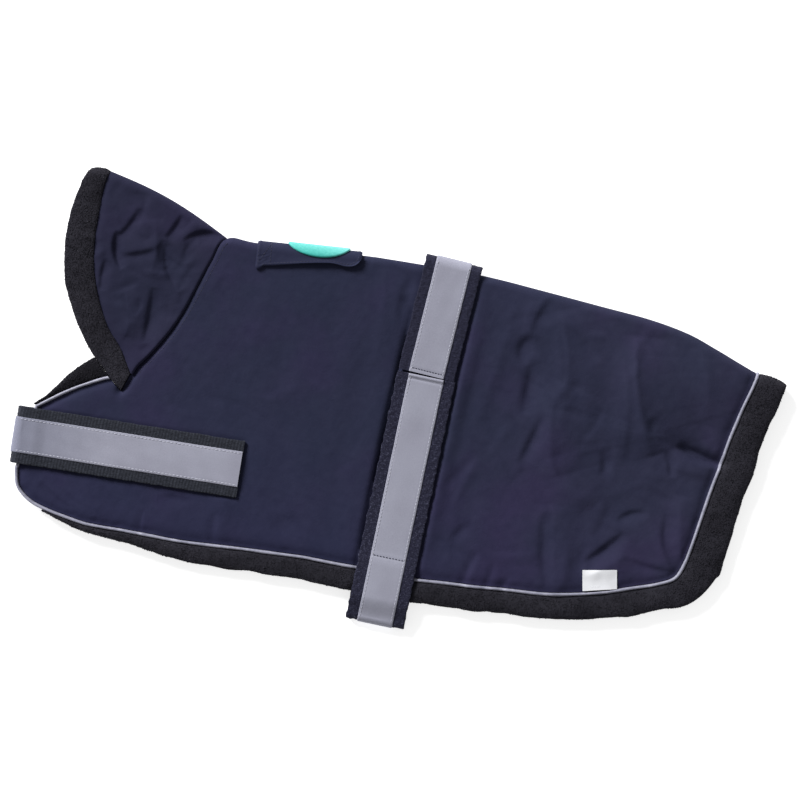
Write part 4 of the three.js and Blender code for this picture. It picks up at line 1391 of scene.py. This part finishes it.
def webbing_material(name, size, light, ribbed=False):
    webbing = Surface(name, roughness=0.85, specular=0.1, sheen=0.04)
    loops = webbing.noise(size, 3, 0.6, scale=(1, 1.6, 1))
    if ribbed:
        # painted shade: the hollows between the ribs take a darker colour
        hollow_shade = webbing.ramp(loops, [(0.3, rgb(31, 33, 40)), (0.7, rgb(46, 48, 56))])
        rib = webbing.ramp(loops, [(0.3, rgb(38, 40, 48)), (0.7, light)])
        webbing.colour(webbing.blend(hollow_shade, rib, webbing.bands(RIB_PITCH, 0)))
    else:
        webbing.colour(webbing.ramp(loops, [(0.3, rgb(33, 33, 48)), (0.55, rgb(42, 42, 60)), (0.8, light)]))
    webbing.bump(loops, 0.5, 0.9)
    return webbing.material


def plain_material(name, dark, light, size, depth, fold_highlight=None):
    """A fine grain of two colours. Paler colours take over towards the fold of the back, as a painted
    highlight.
    """
    plain = Surface(name, roughness=0.6, specular=0.4)
    grain = plain.noise(size, 4, 0.6)
    base = plain.ramp(grain, [(0.3, dark), (0.7, light)])
    if fold_highlight:
        highlighted = plain.ramp(grain, [(0.3, fold_highlight[0]), (0.7, fold_highlight[1])])
        base = plain.blend(base, highlighted, plain.along("Y", 0.107, 0.1175))
    plain.colour(base)
    plain.bump(grain, depth, 0.6)
    return plain.material


SHELL = shell_material("navy_shell", rgb(53, 54, 79), rgb(57, 53, 83), rgb(51, 54, 78))
COLLAR_SHELL = shell_material("navy_collar", rgb(49, 48, 71), rgb(52, 48, 75), rgb(47, 48, 70))
FLEECE_DARK = fleece_material("black_fleece", rgb(42, 41, 48), rgb(53, 52, 60))
# a darker copy of the fleece, as painted shade on the neck's fleece, which lies deeper
FLEECE_SHADED = fleece_material("neck_fleece", rgb(29, 28, 33), rgb(40, 39, 45))
PIPING_CLOTH = piping_material()
TAPE_CLOTH = tape_material("grey_tape", WHITE)
# the chest tape's front end is darkened as painted shade
CHEST_TAPE = tape_material("chest_tape", rgb(206, 208, 214))
LOOP_WEBBING = webbing_material("loop_webbing", 1.6, rgb(60, 61, 80))
CHEST_WEBBING = webbing_material("chest_webbing", 1.3, rgb(61, 64, 74), ribbed=True)
HOOK_WEBBING = webbing_material("hook_webbing", 1.2, rgb(98, 100, 122))
# the patch grows paler towards the fold of the back, as a painted highlight
PATCH_CLOTH = plain_material("turquoise_patch", rgb(40, 168, 158), rgb(58, 192, 180), 1.5, 0.05,
                             fold_highlight=(rgb(96, 192, 186), rgb(120, 205, 198)))
TAB_CLOTH = plain_material("white_tab", rgb(244, 245, 250), rgb(250, 251, 255), 0.8, 0.04)
THREAD_DARK = plain_material("navy_thread", rgb(37, 37, 57), rgb(51, 51, 74), 0.6, 0.03)
THREAD_GREY = plain_material("grey_thread", rgb(176, 177, 190), rgb(214, 215, 226), 0.6, 0.03)


# The coat

body = make_body([SHELL, FLEECE_DARK])
collar = make_collar([COLLAR_SHELL, FLEECE_DARK])
collar_band, band_halves = make_collar_band(FLEECE_DARK)
hem_border, hem_halves = make_hem_border(FLEECE_DARK)
neck_near, neck_near_halves = make_neck_border("near", FLEECE_SHADED)
neck_far, neck_far_halves = make_neck_border("far", FLEECE_SHADED)
piping = make_piping(PIPING_CLOTH)
make_seam_allowances(FLEECE_DARK)

hem_pile = tufts("hem_pile", hem_halves, FLEECE_DARK, count=26000, seed=91)
band_pile = tufts("collar_pile", band_halves, FLEECE_DARK, count=14000, seed=92)
neck_pile_near = tufts("neck_pile_near", neck_near_halves, FLEECE_SHADED, count=2600, seed=93)
neck_pile_far = tufts("neck_pile_far", neck_far_halves, FLEECE_SHADED, count=2600, seed=94)

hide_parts("body")
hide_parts("collar")
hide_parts("collar_band")
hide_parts("hem_border")
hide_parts("neck_border_near")
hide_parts("neck_border_far")
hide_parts("piping")

strap_cloths = [(CHEST_WEBBING, CHEST_TAPE), (LOOP_WEBBING, TAPE_CLOTH), (HOOK_WEBBING, TAPE_CLOTH)]
for strap, cloths in zip(STRAPS, strap_cloths):
    belt, ribbon = make_strap(strap, *cloths)
    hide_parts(strap["name"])
    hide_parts(strap["name"] + "_tape")

flap = make_flap(SHELL)
patch = make_patch(PATCH_CLOTH)
tab = make_tab(TAB_CLOTH)
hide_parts("lead_flap")
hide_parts("flap_patch")
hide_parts("tab")

edge_rows = [row for strap in STRAPS for row in strap_stitches(strap, "edges")]
cross_rows = [row for strap in STRAPS for row in strap_stitches(strap, "cross")]
sewn("cross_thread", cross_rows, THREAD_DARK, pitch=2.0, radius=0.3)
sewn("tape_thread", edge_rows, THREAD_GREY, pitch=2.6, radius=0.22)
sewn("flap_thread", flap_stitches(), THREAD_DARK, pitch=2.3, radius=0.22)
sewn("seam_thread", collar_seam_stitches(), THREAD_DARK, pitch=2.6, radius=0.17)
sewn("tab_thread", tab_stitches(), TAB_CLOTH, pitch=1.6, radius=0.12)


# Floor, light and camera, in metres

FLOOR = -0.0004  # just under the coat, so that its flat underside shows
FLOOR_REACH = 6.0
FLOOR_LOOK = {"Base Color": (0.93, 0.93, 0.93, 1), "Roughness": 0.9, "Specular IOR Level": 0.1,
              "Emission Color": WHITE, "Emission Strength": 0.7}
WORLD_LOOK = {"Color": WHITE, "Strength": 0.27}
VIEW_TURN = 14.3  # the photograph's upright against the frame's Y
VIEW_AXES = {"x": 0, "y": 0, "angle": VIEW_TURN}
WINDOW = {"right": -3.0, "up": 3.75, "above": 2.6, "size": 2.2, "power": 425}
CAMERA = {"x": 0.0005, "y": 0.0257, "above": 2.2, "across": 0.5575, "sensor": 36}
COAT_MIDDLE = 0.01  # height of the coat's upper face, which the camera's distance is measured from


def show(name, data):
    shown = bpy.data.objects.new(name, data)
    bpy.context.scene.collection.objects.link(shown)
    return shown


def clear_from_below(material):
    """Makes a floor's material clear on its underside, so that the part can be looked at from below."""
    nodes, links = material.node_tree.nodes, material.node_tree.links
    choice = nodes.new("ShaderNodeMixShader")
    links.new(nodes.new("ShaderNodeNewGeometry").outputs["Backfacing"], choice.inputs["Fac"])
    links.new(nodes["Principled BSDF"].outputs["BSDF"], choice.inputs[1])
    links.new(nodes.new("ShaderNodeBsdfTransparent").outputs["BSDF"], choice.inputs[2])
    links.new(choice.outputs["Shader"], nodes["Material Output"].inputs["Surface"])


def make_floor():
    mesh = bpy.data.meshes.new("floor")
    corners = [(x * FLOOR_REACH, y * FLOOR_REACH, FLOOR) for x, y in ((-1, -1), (1, -1), (1, 1), (-1, 1))]
    mesh.from_pydata(corners, [], [(0, 1, 2, 3)])
    material = bpy.data.materials.new("white_floor")
    material.use_nodes = True
    set_inputs(material.node_tree.nodes["Principled BSDF"], FLOOR_LOOK)
    clear_from_below(material)
    mesh.materials.append(material)
    floor = show("floor", mesh)


def add_window():
    """A soft light from the photograph's upper left."""
    _, right, up = axes(VIEW_AXES)
    plan = right * WINDOW["right"] + up * WINDOW["up"]
    data = bpy.data.lights.new("window", "AREA")
    data.shape = "DISK"
    data.size = WINDOW["size"]
    data.energy = WINDOW["power"]
    light = show("window", data)
    light.location = (plan[0], plan[1], WINDOW["above"])
    light.rotation_mode = "QUATERNION"
    light.rotation_quaternion = (-Vector(light.location)).to_track_quat("-Z", "Y")


def add_surroundings():
    world = bpy.data.worlds.new("studio")
    world.use_nodes = True
    set_inputs(world.node_tree.nodes["Background"], WORLD_LOOK)
    bpy.context.scene.world = world
    bpy.context.scene.view_settings.view_transform = "Standard"


def add_camera():
    data = bpy.data.cameras.new("camera")
    data.sensor_width = CAMERA["sensor"]
    data.lens = CAMERA["sensor"] * CAMERA["above"] / CAMERA["across"]
    camera = show("camera", data)
    camera.location = (CAMERA["x"], CAMERA["y"], CAMERA["above"] + COAT_MIDDLE)
    camera.rotation_euler = (0, 0, math.radians(VIEW_TURN))
    bpy.context.scene.camera = camera


make_floor()
add_window()
add_surroundings()
add_camera()
